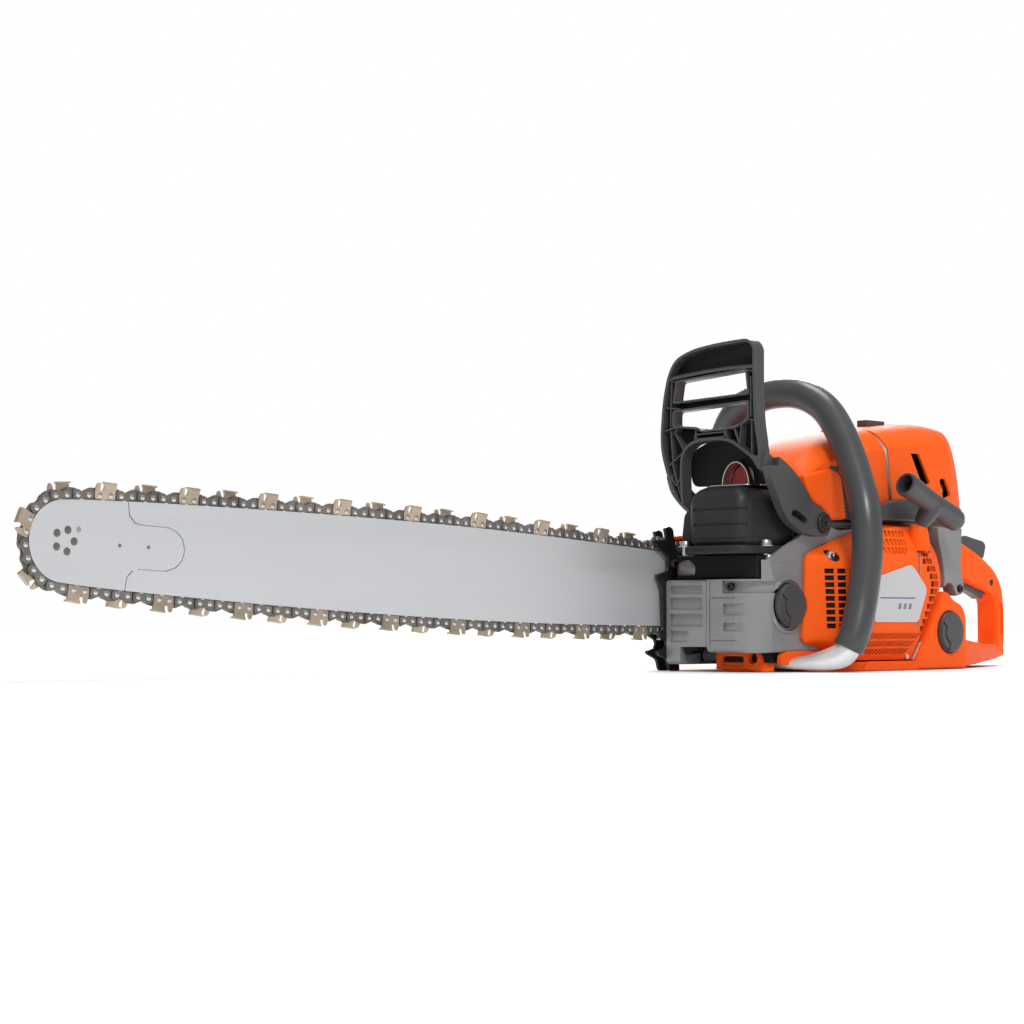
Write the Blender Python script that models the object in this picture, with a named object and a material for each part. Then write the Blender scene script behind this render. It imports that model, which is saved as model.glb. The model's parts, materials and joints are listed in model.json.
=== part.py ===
"""Petrol chainsaw with a 28 inch bar, as an assembly of separate pieces.

Work frame in metres: +Z up, +X towards the rear handle, -X towards the bar nose, -Y the starter side,
+Y the clutch side. X = 0 is the crankshaft axis, Y = 0 the crankcase seam, Z = 0 the base underside.
Lengths below are in millimetres; body() turns them into metres.
"""
import math

import bmesh
import bpy
from mathutils import Matrix, Vector

MM = 0.001
GAP = 0.4

# Engine: 50 mm bore, 36 mm stroke
CRANK_Z = 68.3
BORE_R = 25.0
THROW = 18.0
ROD_LENGTH = 68.0
PISTON_HALF = 20.0
WEB_R = 28.0
WEB_Y = (8.0, 17.0)
ROD_SWEEP_X = 31.5
ROD_SWEEP_Y = 6.0
ROD_SWEEP_Z = (38.0, 101.0)
DECK_Z = 100.0
HEAD_Z = 196.0
CRANKCASE_Y = (-57.0, 47.0)
WALL = 3.0

# Bar, chain and sprockets
BAR_Y = 55.0
BAR_HALF = 2.1
BAR_PITCH = math.radians(2.468)
NOSE_S = 790.0
NOSE_R = 30.0
TAIL_S = 24.0
INSERT_S = 732.0
NOSE_TEETH = 11
DRIVE_TEETH = 7
RAIL_LIFT = 0.5
TIE_HEIGHT = 8.6
CUTTER_HEIGHT = 13.0
CHAIN_HALF = 3.4
CUTTERS = 46
RAIL = ((0.0, 18.3), (60.0, 28.0), (100.0, 31.2), (146.0, 34.0), (340.0, 38.4),
        (527.0, 37.8), (690.0, 34.2), (771.0, 31.3), (790.0, 30.0))
STUDS = (45.0, 76.0)
STUD_R = 4.0

# Clutch and starter
DRUM_R = 40.0
DRUM_Y = (32.0, 49.6)
FLYWHEEL_R = 44.0
FLYWHEEL_Y = (-74.0, -50.0)
STARTER_Y = (-93.0, -57.5)
PULLEY_R = 27.0
PULLEY_Y = (-84.0, -76.0)
ROPE_EXIT = (66.0, -86.0)

# Guard, caps, handles
GUARD_PIVOT = (-52.7, 133.0)
GUARD_X = (-129.0, -117.0)
OIL_CAP = (-94.0, 59.0)
FUEL_CAP = (123.0, 34.7)
CAP_R = 19.5
GRIP_R = 14.2
TUBE_R = 11.0
FOOT_HALF = (12.5, 4.6)
FILTER_COVER_Y = (-60.0, 56.0)
CYLINDER_COVER_Y = (-57.2, 47.0)
TRIGGER_PIVOT = (238.0, 92.0)
LOCKOUT_PIVOT = (254.0, 117.0)
STOP_PIVOT = (196.0, 30.0)
SLOT_HALF = 6.5
REAR_HALF = 13.0
VALVE = (24.0, -16.0)
LEVER_HALF = 5.8

ORANGE = (0.93, 0.12, 0.015)
MAGNESIUM = (0.27, 0.27, 0.28)
DARK = (0.075, 0.078, 0.082)
BLACK = (0.015, 0.015, 0.016)
STEEL = (0.55, 0.55, 0.56)
LIGHT = (0.60, 0.60, 0.62)
CAST = (0.42, 0.42, 0.43)
RED = (0.6, 0.05, 0.02)
CERAMIC = (0.8, 0.8, 0.78)
FELT = (0.75, 0.73, 0.65)
LABEL = (0.62, 0.63, 0.64)
TOOTH = (0.35, 0.30, 0.24)


def clear_scene():
    for item in list(bpy.data.objects):
        bpy.data.objects.remove(item, do_unlink=True)


def finish(item, colour, roughness, metallic):
    material = bpy.data.materials.new(item.name + "_finish")
    material.use_nodes = True
    shader = material.node_tree.nodes["Principled BSDF"]
    shader.inputs["Base Color"].default_value = (*colour, 1.0)
    shader.inputs["Roughness"].default_value = roughness
    shader.inputs["Metallic"].default_value = metallic
    item.data.materials.clear()
    item.data.materials.append(material)


def body(name, points, faces):
    """A closed mesh object from points in millimetres."""
    mesh = bpy.data.meshes.new(name)
    mesh.from_pydata([Vector(point) * MM for point in points], [], faces)
    work = bmesh.new()
    work.from_mesh(mesh)
    bmesh.ops.remove_doubles(work, verts=work.verts, dist=1e-7)
    bmesh.ops.recalc_face_normals(work, faces=work.faces)
    work.to_mesh(mesh)
    work.free()
    item = bpy.data.objects.new(name, mesh)
    bpy.context.scene.collection.objects.link(item)
    return item


def loft(name, loops, closed=False):
    """Skin a list of equal loops; the ends are capped unless the row of loops closes on itself."""
    count = len(loops[0])
    points = [point for loop in loops for point in loop]
    faces = []
    spans = len(loops) if closed else len(loops) - 1
    for span in range(spans):
        first = span * count
        second = ((span + 1) % len(loops)) * count
        for side in range(count):
            following = (side + 1) % count
            faces.append((first + side, first + following, second + following, second + side))
    if not closed:
        faces.append(tuple(range(count)))
        faces.append(tuple(range(len(points) - count, len(points))))
    return body(name, points, faces)


def place(axis, a, b, along):
    """A point from two in-plane coordinates and one along the axis."""
    if axis == "X":
        return (along, a, b)
    if axis == "Y":
        return (a, along, b)
    return (a, b, along)


def prism(name, outline, axis, low, high):
    return loft(name, [[place(axis, a, b, along) for a, b in outline] for along in (low, high)])


def box(name, x, y, z):
    return prism(name, [(x[0], y[0]), (x[1], y[0]), (x[1], y[1]), (x[0], y[1])], "Z", z[0], z[1])


def round_outline(points, radius, steps=2):
    """A closed outline whose corners are arcs, given one radius or one for each corner."""
    result = []
    count = len(points)
    for index, point in enumerate(points):
        corner = Vector(point)
        size = radius[index] if isinstance(radius, (list, tuple)) else radius
        before = Vector(points[index - 1]) - corner
        after = Vector(points[(index + 1) % count]) - corner
        size = min(size, before.length * 0.49, after.length * 0.49)
        if size < 0.01:
            result.append(tuple(corner))
            continue
        start = corner + before.normalized() * size
        end = corner + after.normalized() * size
        for step in range(steps + 1):
            t = step / steps
            result.append(tuple(start * (1 - t) ** 2 + corner * (2 * t * (1 - t)) + end * t ** 2))
    return result


def circle(centre, radius, count=20):
    turns = [2 * math.pi * (index + 0.5) / count for index in range(count)]
    return [(centre[0] + radius * math.cos(turn), centre[1] + radius * math.sin(turn)) for turn in turns]


def stack(name, centre, rings, axis="Y", count=20):
    """A turned solid: rings are (radius, position) pairs along the axis."""
    loops = []
    for radius, along in rings:
        loops.append([place(axis, a, b, along) for a, b in circle(centre, radius, count)])
    return loft(name, loops)


def sleeve(name, centre, outer, inner, span, axis="Y", count=20):
    """A ring with a rectangular section."""
    corners = [(outer, span[0]), (outer, span[1]), (inner, span[1]), (inner, span[0])]
    loops = []
    for radius, along in corners:
        loops.append([place(axis, a, b, along) for a, b in circle(centre, radius, count)])
    return loft(name, loops, closed=True)


def sections(path, sizes, count):
    """Rings square to a path; sizes gives (side, up) half sizes at each point."""
    loops = []
    side = None
    for index, point in enumerate(path):
        before = path[max(index - 1, 0)]
        after = path[min(index + 1, len(path) - 1)]
        along = (after - before).normalized()
        if side is None:
            side = along.cross(Vector((0, 0, 1)))
            if side.length < 0.1:
                side = along.cross(Vector((1, 0, 0)))
        side = (side - along * side.dot(along)).normalized()
        up = side.cross(along).normalized()
        wide, tall = sizes(index / (len(path) - 1))
        ring = []
        for step in range(count):
            turn = 2 * math.pi * (step + 0.5) / count
            ring.append(point + side * (wide * math.cos(turn)) + up * (tall * math.sin(turn)))
        loops.append(ring)
    return loops


def tube(name, path, radius, count=10, inner=None):
    """A round bar along a path, or a pipe when an inner radius is given."""
    outer = sections(path, lambda t: (radius, radius), count)
    if inner is None:
        return loft(name, outer)
    core = sections(path, lambda t: (inner, inner), count)
    return loft(name, outer + core[::-1], closed=True)


def combine(target, other, operation):
    change = target.modifiers.new("shape", "BOOLEAN")
    change.operation = operation
    change.object = other
    change.solver = "EXACT"
    graph = bpy.context.evaluated_depsgraph_get()
    mesh = bpy.data.meshes.new_from_object(target.evaluated_get(graph))
    target.modifiers.clear()
    target.data = mesh
    bpy.data.objects.remove(other, do_unlink=True)
    return target


def cut(target, *cutters):
    for cutter in cutters:
        combine(target, cutter, "DIFFERENCE")
    return target


def weld(target, *others):
    for other in others:
        combine(target, other, "UNION")
    return target


def hole(centre, radius, span, axis="Y", count=16):
    return stack("hole", centre, [(radius, span[0]), (radius, span[1])], axis, count)


def done(item, colour, roughness=0.5, metallic=0.0, origin=None):
    """Weld tiny edges, shade, colour, and move the origin to the joint axis when one is given."""
    work = bmesh.new()
    work.from_mesh(item.data)
    bmesh.ops.remove_doubles(work, verts=work.verts, dist=1e-6)
    bmesh.ops.dissolve_degenerate(work, edges=work.edges, dist=1e-6)
    bmesh.ops.triangulate(work, faces=work.faces)
    work.to_mesh(item.data)
    work.free()
    item.data.shade_smooth()
    item.data.set_sharp_from_angle(angle=math.radians(35))
    if origin is not None:
        shift = Vector(origin) * MM
        item.data.transform(Matrix.Translation(-shift))
        item.location = shift
    finish(item, colour, roughness, metallic)
    return item


# Engine

def crankcase_left():
    outline = [(-138, 30), (-138, 82), (-134, 98), (-128, 100), (50, 100), (68, 88), (72, 60), (60, 28), (40, 23),
               (-128, 23)]
    item = prism("crankcase_left", outline, "Y", CRANKCASE_Y[0], -GAP / 2)
    ear = round_outline([(-131, 90), (-128, 97), (-75, 120), (-63, 127), (-62, 143), (-42, 143), (-34, 134),
                         (20, 131), (24, 90)], 4)
    weld(item, prism("ear", ear, "Y", CRANKCASE_Y[0], -53.0))
    nose = [(-150, -32), (-138.1, -32), (-135, -42), (-127, -51), (-111, -57.1), (-111, -70), (-150, -70)]
    cut(item,
        box("muffler_step", (-140, -60), (-52.0, 1), (82, 160)),
        prism("rounded_nose", nose, "Z", 10, 110),
        prism("oil_tank", round_outline([(-124, 29), (-124, 76), (-46, 76), (-46, 29)], 8), "Y", -40.0, 1),
        hole(OIL_CAP, CAP_R - 4.0, (-60, -38)),
        hole((0, CRANK_Z), FLYWHEEL_R + 5, (-60, -47), count=28),
        hole((0, CRANK_Z), WEB_R + 3, (-17.5, 1), count=24),
        box("rod_sweep", (-ROD_SWEEP_X, ROD_SWEEP_X), (-ROD_SWEEP_Y, 1), ROD_SWEEP_Z),
        hole((0, CRANK_Z), 17.6, (-30, -10)),
        hole((0, CRANK_Z), 9.5, (-60, -20)),
        hole((0, 0), BORE_R + 1.5, (80, 120), "Z"),
        hole(GUARD_PIVOT, 4.4, (-60, -40)))
    return done(item, MAGNESIUM, 0.45, 0.6)


def crankcase_right():
    outline = [(-138, 6), (-138, 82), (-60, 82), (-60, 100), (50, 100), (68, 88), (72, 60), (60, 24), (40, 17),
               (-61, 17), (-62, 6)]
    item = prism("crankcase_right", outline, "Y", GAP / 2, CRANKCASE_Y[1])
    pad = round_outline([(-92, 60), (-92, 84), (-48, 84), (-48, 60)], 6)
    ear = round_outline([(-64, 92), (-64, 143), (-42, 143), (-40, 92)], 6)
    weld(item,
         prism("bar_pad", pad, "Y", 40.0, BAR_Y - BAR_HALF - GAP),
         prism("ear", ear, "Y", 40.0, 46.6))
    cut(item,
        prism("pocket", round_outline([(-134, 14), (-134, 78), (-60, 78), (-60, 20)], 8), "Y", -1, 40.0),
        box("front_relief", (-140, -60), (-1, 31), (0, 22)),
        hole((0, CRANK_Z), DRUM_R + 3, (31, 60), count=28),
        hole((0, CRANK_Z), WEB_R + 3, (-1, 17.5), count=24),
        box("rod_sweep", (-ROD_SWEEP_X, ROD_SWEEP_X), (-1, ROD_SWEEP_Y), ROD_SWEEP_Z),
        hole((0, CRANK_Z), 17.6, (10, 30)),
        hole((0, CRANK_Z), 9.5, (20, 60)),
        hole((0, 0), BORE_R + 1.5, (80, 120), "Z"),
        hole(GUARD_PIVOT, 4.4, (30, 60)))
    for stud in STUDS:
        cut(item, hole(bar_point(stud, 0), STUD_R + GAP, (38, 60), count=16))
    return done(item, MAGNESIUM, 0.45, 0.6)


def cylinder():
    """A finned barrel, made of rounded rectangles stacked along Z."""
    fins = 6
    first = DECK_Z + 11
    pitch = (HEAD_Z - first - 4) / fins
    loops = []

    def ring(half_x, half_y, z):
        corners = [(-half_x, -half_y), (half_x, -half_y), (half_x, half_y), (-half_x, half_y)]
        return [(x, y, z) for x, y in round_outline(corners, 9, 1)]

    loops.append(ring(36, 30, DECK_Z + GAP))
    loops.append(ring(36, 30, DECK_Z + 6))
    for fin in range(fins):
        low = first + fin * pitch
        loops.append(ring(31, 29, low))
        loops.append(ring(31, 29, low + pitch * 0.5))
        loops.append(ring(42, 37, low + pitch * 0.5))
        loops.append(ring(42, 37, low + pitch * 0.85))
    loops.append(ring(31, 29, loops[-1][0][2]))
    loops.append(ring(27, 26, HEAD_Z))
    item = loft("cylinder", loops)
    cut(item,
        hole((0, 0), BORE_R, (DECK_Z - 2, HEAD_Z - 18), "Z", 24),
        hole((0, 0), 7.2, (HEAD_Z - 30, HEAD_Z + 5), "Z", 16),
        box("exhaust_port", (-50, -20), (-13, 13), (121, 133)),
        box("intake_port", (20, 50), (-13, 13), (121, 133)))
    return done(item, CAST, 0.5, 0.8)


def piston():
    pin = CRANK_Z + THROW + ROD_LENGTH
    radius = BORE_R - 0.4
    item = stack("piston", (0, 0), [(radius, pin - PISTON_HALF), (radius, pin + PISTON_HALF - 1),
                                    (radius - 1, pin + PISTON_HALF)], "Z", 24)
    cut(item,
        hole((0, 0), radius - 3.5, (pin - PISTON_HALF - 1, pin + 12), "Z", 16),
        hole((0, pin), 5.3, (-30, 30)))
    return done(item, CAST, 0.35, 0.9, (0, 0, pin))


def connecting_rod():
    """Rod with its small end on the piston pin and its big end on the crank pin."""
    low = CRANK_Z + THROW
    high = low + ROD_LENGTH
    outline = [(-6, low + 9), (-4, high - 6), (4, high - 6), (6, low + 9)]
    item = prism("connecting_rod", outline, "Y", -3.5, 3.5)
    weld(item,
         hole((0, low), 12, (-5, 5)),
         hole((0, high), 9, (-5, 5)))
    cut(item,
        hole((0, low), 6.3, (-9, 9)),
        hole((0, high), 5.4, (-9, 9)))
    return done(item, STEEL, 0.35, 0.9, (0, 0, high))


def crank_pin():
    low = CRANK_Z + THROW
    item = stack("crank_pin", (0, low), [(6.0, -WEB_Y[0] + GAP), (6.0, WEB_Y[0] - GAP)])
    return done(item, STEEL, 0.3, 0.9)


def piston_pin():
    high = CRANK_Z + THROW + ROD_LENGTH
    item = stack("piston_pin", (0, high), [(5.0, -19.5), (5.0, 19.5)], count=16)
    return done(item, STEEL, 0.3, 0.9)


def crankshaft_left():
    rings = [(WEB_R, -WEB_Y[0]), (WEB_R, -WEB_Y[1]), (8, -WEB_Y[1]), (8, -46), (7, -50), (5, -78)]
    item = stack("crankshaft_left", (0, CRANK_Z), rings, count=20)
    return done(item, STEEL, 0.3, 0.9, (0, 0, CRANK_Z))


def crankshaft_right():
    rings = [(WEB_R, WEB_Y[0]), (WEB_R, WEB_Y[1]), (8, WEB_Y[1]), (8, 31), (5.5, 33), (5.5, 63)]
    item = stack("crankshaft_right", (0, CRANK_Z), rings, count=20)
    return done(item, STEEL, 0.3, 0.9, (0, 0, CRANK_Z))


def main_bearing(name, side):
    span = (side * 18.0, side * 29.0)
    item = sleeve(name, (0, CRANK_Z), 17.2, 8.4, span)
    return done(item, STEEL, 0.25, 0.9)


def flywheel():
    """Fan wheel: the vaned face is a star outline that blends into a round disc."""
    vanes = 12
    star = []
    disc = []
    hub = []
    for index in range(vanes * 4):
        turn = 2 * math.pi * (index + 0.5) / (vanes * 4)
        radius = FLYWHEEL_R - 1 if index % 4 < 2 else 25.0
        for ring, size in ((star, radius), (disc, FLYWHEEL_R), (hub, 14.0)):
            ring.append((size * math.cos(turn), CRANK_Z + size * math.sin(turn)))
    rows = [(star, FLYWHEEL_Y[0]), (star, -66.0), (disc, -66.0), (disc, -58.0), (hub, FLYWHEEL_Y[1])]
    item = loft("flywheel", [[(x, y, z) for x, z in ring] for ring, y in rows])
    cut(item, hole((0, CRANK_Z), 8.4, (-80, -40)))
    return done(item, CAST, 0.45, 0.8, (0, 0, CRANK_Z))


def ignition_coil():
    outline = round_outline([(38, 106), (38, 121), (60, 121), (60, 106)], 3, 1)
    item = prism("ignition_coil", outline, "Y", -72, -59)
    return done(item, BLACK, 0.5)


def spark_plug():
    rings = [(6.6, HEAD_Z - 17), (6.6, HEAD_Z + 0.5), (9.5, HEAD_Z + 0.5), (9.5, HEAD_Z + 7),
             (5.5, HEAD_Z + 8), (4.5, HEAD_Z + 15)]
    item = stack("spark_plug", (0, 0), rings, "Z", 16)
    return done(item, CERAMIC, 0.3)


def decompression_valve():
    rings = [(4, 200.5), (4, 216), (7, 219), (7, 226.5)]
    item = stack("decompression_valve", VALVE, rings, "Z", 16)
    return done(item, DARK, 0.4, 0.0, (*VALVE, 219))


def muffler():
    """Ribbed pressed box: stacked rounded rectangles along Z, with a flange at the bottom."""
    rows = [(-142, -62, -51, 26, 104, 8), (-142, -62, -51, 26, 110, 8), (-137, -64, -46, 18, 112, 10),
            (-146, -64, -48, 17, 122, 14), (-147, -64, -48, 17, 146, 14), (-143, -64, -46, 15, 158, 14),
            (-132, -68, -38, 12, 165, 12)]
    loops = []
    for x0, x1, y0, y1, z, radius in rows:
        corners = [(x0, y0), (x1, y0), (x1, y1), (x0, y1)]
        loops.append([(x, y, z) for x, y in round_outline(corners, radius, 4)])
    item = loft("muffler", loops)
    weld(item, box("exhaust_neck", (-70, -43), (-16, 16), (118, 136)))
    cut(item,
        box("exhaust_passage", (-80, -40), (-12, 12), (121, 133)),
        box("chamber", (-134, -70), (-38, 13), (116, 154)))
    return done(item, BLACK, 0.55, 0.3)


def muffler_deflector():
    outline = round_outline([(-116, 165.4), (-116, 178), (-104, 185), (-80, 180), (-80, 165.4)], 5)
    item = prism("muffler_deflector", outline, "Y", -31, -4)
    cut(item, box("outlet", (-120, -88), (-27, -8), (170, 177)))
    return done(item, STEEL, 0.25, 0.9)


def intake_boot():
    item = sleeve("intake_boot", (0, 128), 17, 12, (42.5, 64), "X", 20)
    return done(item, BLACK, 0.7)


def carburettor():
    item = box("carburettor", (64.5, 104), (-19, 19), (110, 146))
    weld(item, hole((0, 128), 16, (100, 112), "X"))
    cut(item, hole((0, 128), 9, (60, 115), "X"))
    return done(item, CAST, 0.4, 0.8)


def air_filter():
    item = loft("air_filter", [[(x, y, z) for x, y in round_outline(
        [(112 + inset, -36 + inset), (188 - inset * 2, -36 + inset), (188 - inset * 2, 34 - inset),
         (112 + inset, 34 - inset)], 12)]
        for z, inset in ((156.5, 0), (200, 3), (206, 8))])
    return done(item, FELT, 0.8)


def intake_housing():
    outline = round_outline([(50, -62), (150, -62), (178, -58), (202, -42), (220, -18), (220, 14), (202, 38),
                             (178, 54), (50, 54)], 8)
    item = prism("intake_housing", outline, "Z", 136, 154)
    cut(item,
        box("carburettor_bay", (40, 120), (-26, 26), (130, 160)),
        box("tray", (126, 194), (-42, 38), (140, 160)),
        box("handle_seat", (165, 240), (-18, 18), (130, 138)))
    return done(item, DARK, 0.55)


# Covers

def cover_solid(name, profile, anchor, y_span, shrink, taper=0.0):
    """A crowned cover: the side profile is scaled towards an anchor point near both sides; taper draws the
    rear in further, to a rounded end in plan."""
    middle = (y_span[0] + y_span[1]) / 2
    half = (y_span[1] - y_span[0]) / 2 - shrink
    loops = []
    for side in (-1.0, -0.95, -0.8, -0.6, -0.3, 0.3, 0.6, 0.8, 0.95, 1.0):
        scale = 1 - 0.26 * abs(side) ** 5 - 0.04 * abs(side) ** 2
        y = middle + half * side
        rear = scale if taper == 0 else 1 - taper * abs(side) ** 2.6
        loops.append([(anchor[0] + (x - anchor[0]) * rear if x > anchor[0] else x, y,
                       anchor[1] + (z - anchor[1]) * scale) for x, z in profile])
    return loft(name, loops)


def air_filter_cover():
    top = [(44, 226.8), (131, 237), (184, 233), (203, 220), (219, 190), (226, 155)]
    inner = [(61, 225.4), (131, 234), (182, 230), (200, 217.5), (215.5, 188.5), (222, 150)]
    item = cover_solid("air_filter_cover", round_outline([(44, 155)] + top, [0, 1, 40, 22, 22, 20, 0], 2),
                       (150, 155), FILTER_COVER_Y, 0, 0.9)
    cut(item, cover_solid("inside", round_outline([(69, 150)] + inner, [0, 1, 40, 20, 20, 20, 0], 2),
                          (150, 155), FILTER_COVER_Y, WALL, 0.9),
        prism("front_seam", [(65.6, 130), (49.6, 240), (20, 240), (20, 130)], "Y", -70, 70))
    return done(item, ORANGE, 0.35)


def cylinder_cover():
    top = [(-70, 146), (-76, 164), (-70, 186), (-40, 207), (10, 222), (73, 231)]
    inner = [(-66.5, 140), (-72, 164), (-67, 184), (-38, 204), (10, 219), (76, 228)]
    item = cover_solid("cylinder_cover", round_outline([(73, 146)] + top, [0, 0, 12, 14, 30, 60, 1], 2),
                       (80, 146), CYLINDER_COVER_Y, 0)
    cut(item,
        cover_solid("inside", round_outline([(76, 140)] + inner, [0, 0, 12, 14, 30, 60, 1], 2),
                    (80, 146), CYLINDER_COVER_Y, WALL),
        hole(VALVE, 8.7, (200, 240), "Z"),
        prism("rear_seam", [(65, 130), (49, 240), (95, 240), (95, 130)], "Y", -70, 70),
        box("front_lip", (-90, 90), (-70, 70), (130, 146.5)),
        box("housing_relief", (48, 90), (-70, 70), (130, 155)),
        box("muffler_window", (-90, -58), (-50.5, 37), (140, 171)))
    return done(item, ORANGE, 0.35)


def starter_shape(name, inset):
    """Bulged cover: the rim follows the crankcase, and the flat face is smaller and further out."""
    rim = [(-77, 26), (-71, 105), (-30, 118), (36, 135.4), (88, 135.4), (113, 108), (119, 82), (66, 9.5),
           (-25, 9.5), (-52, 22)]
    shoulder = [(-56, 28), (-52, 102), (-24, 114), (34, 132), (86, 132), (111, 107), (118, 80), (66, 9.5),
                (-20, 9.5), (-40, 22)]
    face = [(-34, 36), (-32, 97), (-12, 103), (26, 112), (62, 107), (84, 94), (89, 76), (60, 36), (-8, 36),
            (-20, 35)]
    centre = Vector((24, 68))
    rows = ((rim, STARTER_Y[1] + 4 * inset), (rim, -61.0), (shoulder, -76.0), (face, STARTER_Y[0] + inset))
    loops = []
    for corners, y in rows:
        moved = [Vector(corner) - (Vector(corner) - centre).normalized() * inset * 1.3 for corner in corners]
        loops.append([(x, y, z) for x, z in round_outline(moved, 8, 1)])
    return loft(name, loops)


def starter_cover():
    item = cut(starter_shape("starter_cover", 0), starter_shape("inside", WALL))
    weld(item,
         hole((0, CRANK_Z), 6, (STARTER_Y[0] + 1, -78)),
         hole(ROPE_EXIT, 8, (104, 134), "Z", 14))
    for column in range(2):
        for row in range(9):
            x = -59 + column * 9
            z = 37 + row * 6.4
            cut(item, box("slot", (x, x + 7), (-100, -63), (z, z + 3.4)))
    cut(item,
        hole(ROPE_EXIT, 3.5, (100, 140), "Z", 12),
        hole(OIL_CAP, CAP_R + 1.5, (-80, -50), count=24))
    return done(item, ORANGE, 0.35)


def label_plate():
    outline = round_outline([(-14, 44), (-14, 84), (42, 97), (66, 77), (48, 44)], 2, 2)
    item = prism("label_plate", outline, "Y", STARTER_Y[0] - 1.6, STARTER_Y[0] - GAP)
    return done(item, LABEL, 0.4)


def starter_pulley():
    rings = [(6.5, -1), (PULLEY_R + 4, -1), (PULLEY_R + 4, 0.4), (PULLEY_R - 3, 2), (PULLEY_R - 3, 6),
             (PULLEY_R + 4, 7.6), (PULLEY_R + 4, 9), (6.5, 9)]
    loops = [[(x, PULLEY_Y[0] + along, z) for x, z in circle((0, CRANK_Z), radius, 20)] for radius, along in rings]
    item = loft("starter_pulley", loops, closed=True)
    return done(item, BLACK, 0.5, 0.0, (0, -80, CRANK_Z))


def starter_rope():
    item = sleeve("starter_rope", (0, CRANK_Z), PULLEY_R + 2.5, PULLEY_R - 2.4,
                  (PULLEY_Y[0] + 2.6, PULLEY_Y[0] + 5.4))
    return done(item, BLACK, 0.8)


def recoil_spring():
    """Flat spiral strip between the pulley and the cover's face."""
    turns = 3
    steps = 14
    thick = 0.8
    inner_r = 9.0
    growth = 5.0
    loops = []
    for index in range(turns * steps + 1):
        turn = 2 * math.pi * index / steps
        radius = inner_r + growth * index / steps
        ring = []
        for size, y in ((radius, -89.4), (radius + thick, -89.4), (radius + thick, -85.8), (radius, -85.8)):
            ring.append((size * math.cos(turn), y, CRANK_Z + size * math.sin(turn)))
        loops.append(ring)
    return done(loft("recoil_spring", loops), STEEL, 0.3, 0.9)


def starter_handle():
    start = Vector((25, -101, 170))
    end = Vector((109, -101, 138))
    along = (end - start).normalized()
    path = [start + (end - start) * t for t in (0, 0.06, 0.3, 0.5, 0.7, 0.94, 1)]
    sizes = (9.5, 11, 10.5, 11, 10.5, 10, 7)
    item = loft("starter_handle", sections(path, lambda t: (sizes[round(t * 6)],) * 2, 14))
    middle = start + (end - start) * 0.5
    stem = [middle, Vector((66, -97, 146)), Vector((66, -91, 138))]
    weld(item, loft("stem", sections(stem, lambda t: (9 - 2 * t, 9 - 2 * t), 14)))
    mouth = [start - along * 2, start + along * 14]
    cut(item, loft("mouth", sections(mouth, lambda t: (7, 7), 12)))
    return done(item, DARK, 0.5)


# Tank unit and rear handle

def wing(name, stations):
    """A tapering plate: rectangles given as (x, y low, y high, z low, z high) along X."""
    return loft(name, [[(x, y0, z0), (x, y1, z0), (x, y1, z1), (x, y0, z1)] for x, y0, y1, z0, z1 in stations])


def rear_handle():
    """Handle loop behind the tank, with its finger gap and the slots for the trigger and the lockout."""
    loop = [(148, 4), (200, 5), (258, 7), (316, 9), (324, 18), (324, 60), (322, 80), (306, 97), (281, 111),
            (252, 122), (226, 131), (166, 131), (148, 60)]
    item = prism("handle", round_outline(loop, [1, 10, 20, 6, 8, 20, 14, 20, 30, 30, 12, 4, 12]), "Y",
                 -REAR_HALF, REAR_HALF)
    gap = round_outline([(208, 24), (309, 22), (309, 64), (300, 73), (226, 92), (208, 84)], [14, 10, 10, 6, 12, 8])
    trigger_slot = [(227, 66), (300, 66), (300, 92), (264, 99.5), (227, 101)]
    lockout_slot = [(246, 109), (258, 103.5), (303, 95.5), (303, 140), (246, 140)]
    return cut(item,
               prism("finger_gap", gap, "Y", -20, 20),
               prism("trigger_slot", trigger_slot, "Y", -SLOT_HALF, SLOT_HALF),
               prism("lockout_slot", lockout_slot, "Y", -SLOT_HALF, SLOT_HALF))


def tank_unit():
    """Fuel tank, base plate and rear handle in one moulding."""
    tank = [(70, 0), (70, 9), (117, 73), (123, 73), (131, 66), (146, 61), (153, 50), (153, 0)]
    item = prism("tank_unit", round_outline(tank, [2, 2, 3, 2, 3, 5, 6, 2]), "Y", -78, 50)
    base = [(-112, -44), (-60, -60), (-28, -80), (70, -80), (70, 40), (-20, 40), (-50, 5), (-112, 5)]
    foot = [(150, -76, 48, 0, 28), (204, -58, 44, 2.5, 23), (258, -38, 34, 5, 19), (320, -12, 12, 8, 16)]
    weld(item,
         prism("base", base, "Z", 0, 8),
         prism("front", [(-112, -42), (-50, -42), (-50, -0.4), (-64, -0.4), (-112, 9.6)], "Z", 2, 21.5),
         rear_handle(),
         wing("foot", foot))
    room = round_outline([(84, 8), (121, 58), (142, 56), (146, 46), (146, 8)], 5)
    cut(item,
        prism("tank_room", room, "Y", -72, 44),
        hole(FUEL_CAP, CAP_R - 4, (-90, -60)),
        box("tube_groove", (-101, -60), (-90, -28), (-1, 12.6)),
        box("case_relief", (-140, -52), (20.5, 60), (-1, 16)))
    return done(item, ORANGE, 0.35)


def cap(name, centre, y):
    rings = [(CAP_R - 4.6, y + 8), (CAP_R - 4.6, y - 0.5), (CAP_R, y - 0.5), (CAP_R, y - 5), (CAP_R - 2, y - 7)]
    item = stack(name, centre, rings, count=28)
    cut(item, box("tab_recess", (centre[0] - 16, centre[0] + 16), (y - 9, y - 4.2), (centre[1] - 6, centre[1] + 6)))
    return done(item, DARK, 0.5, 0.0, (centre[0], y, centre[1]))


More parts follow.
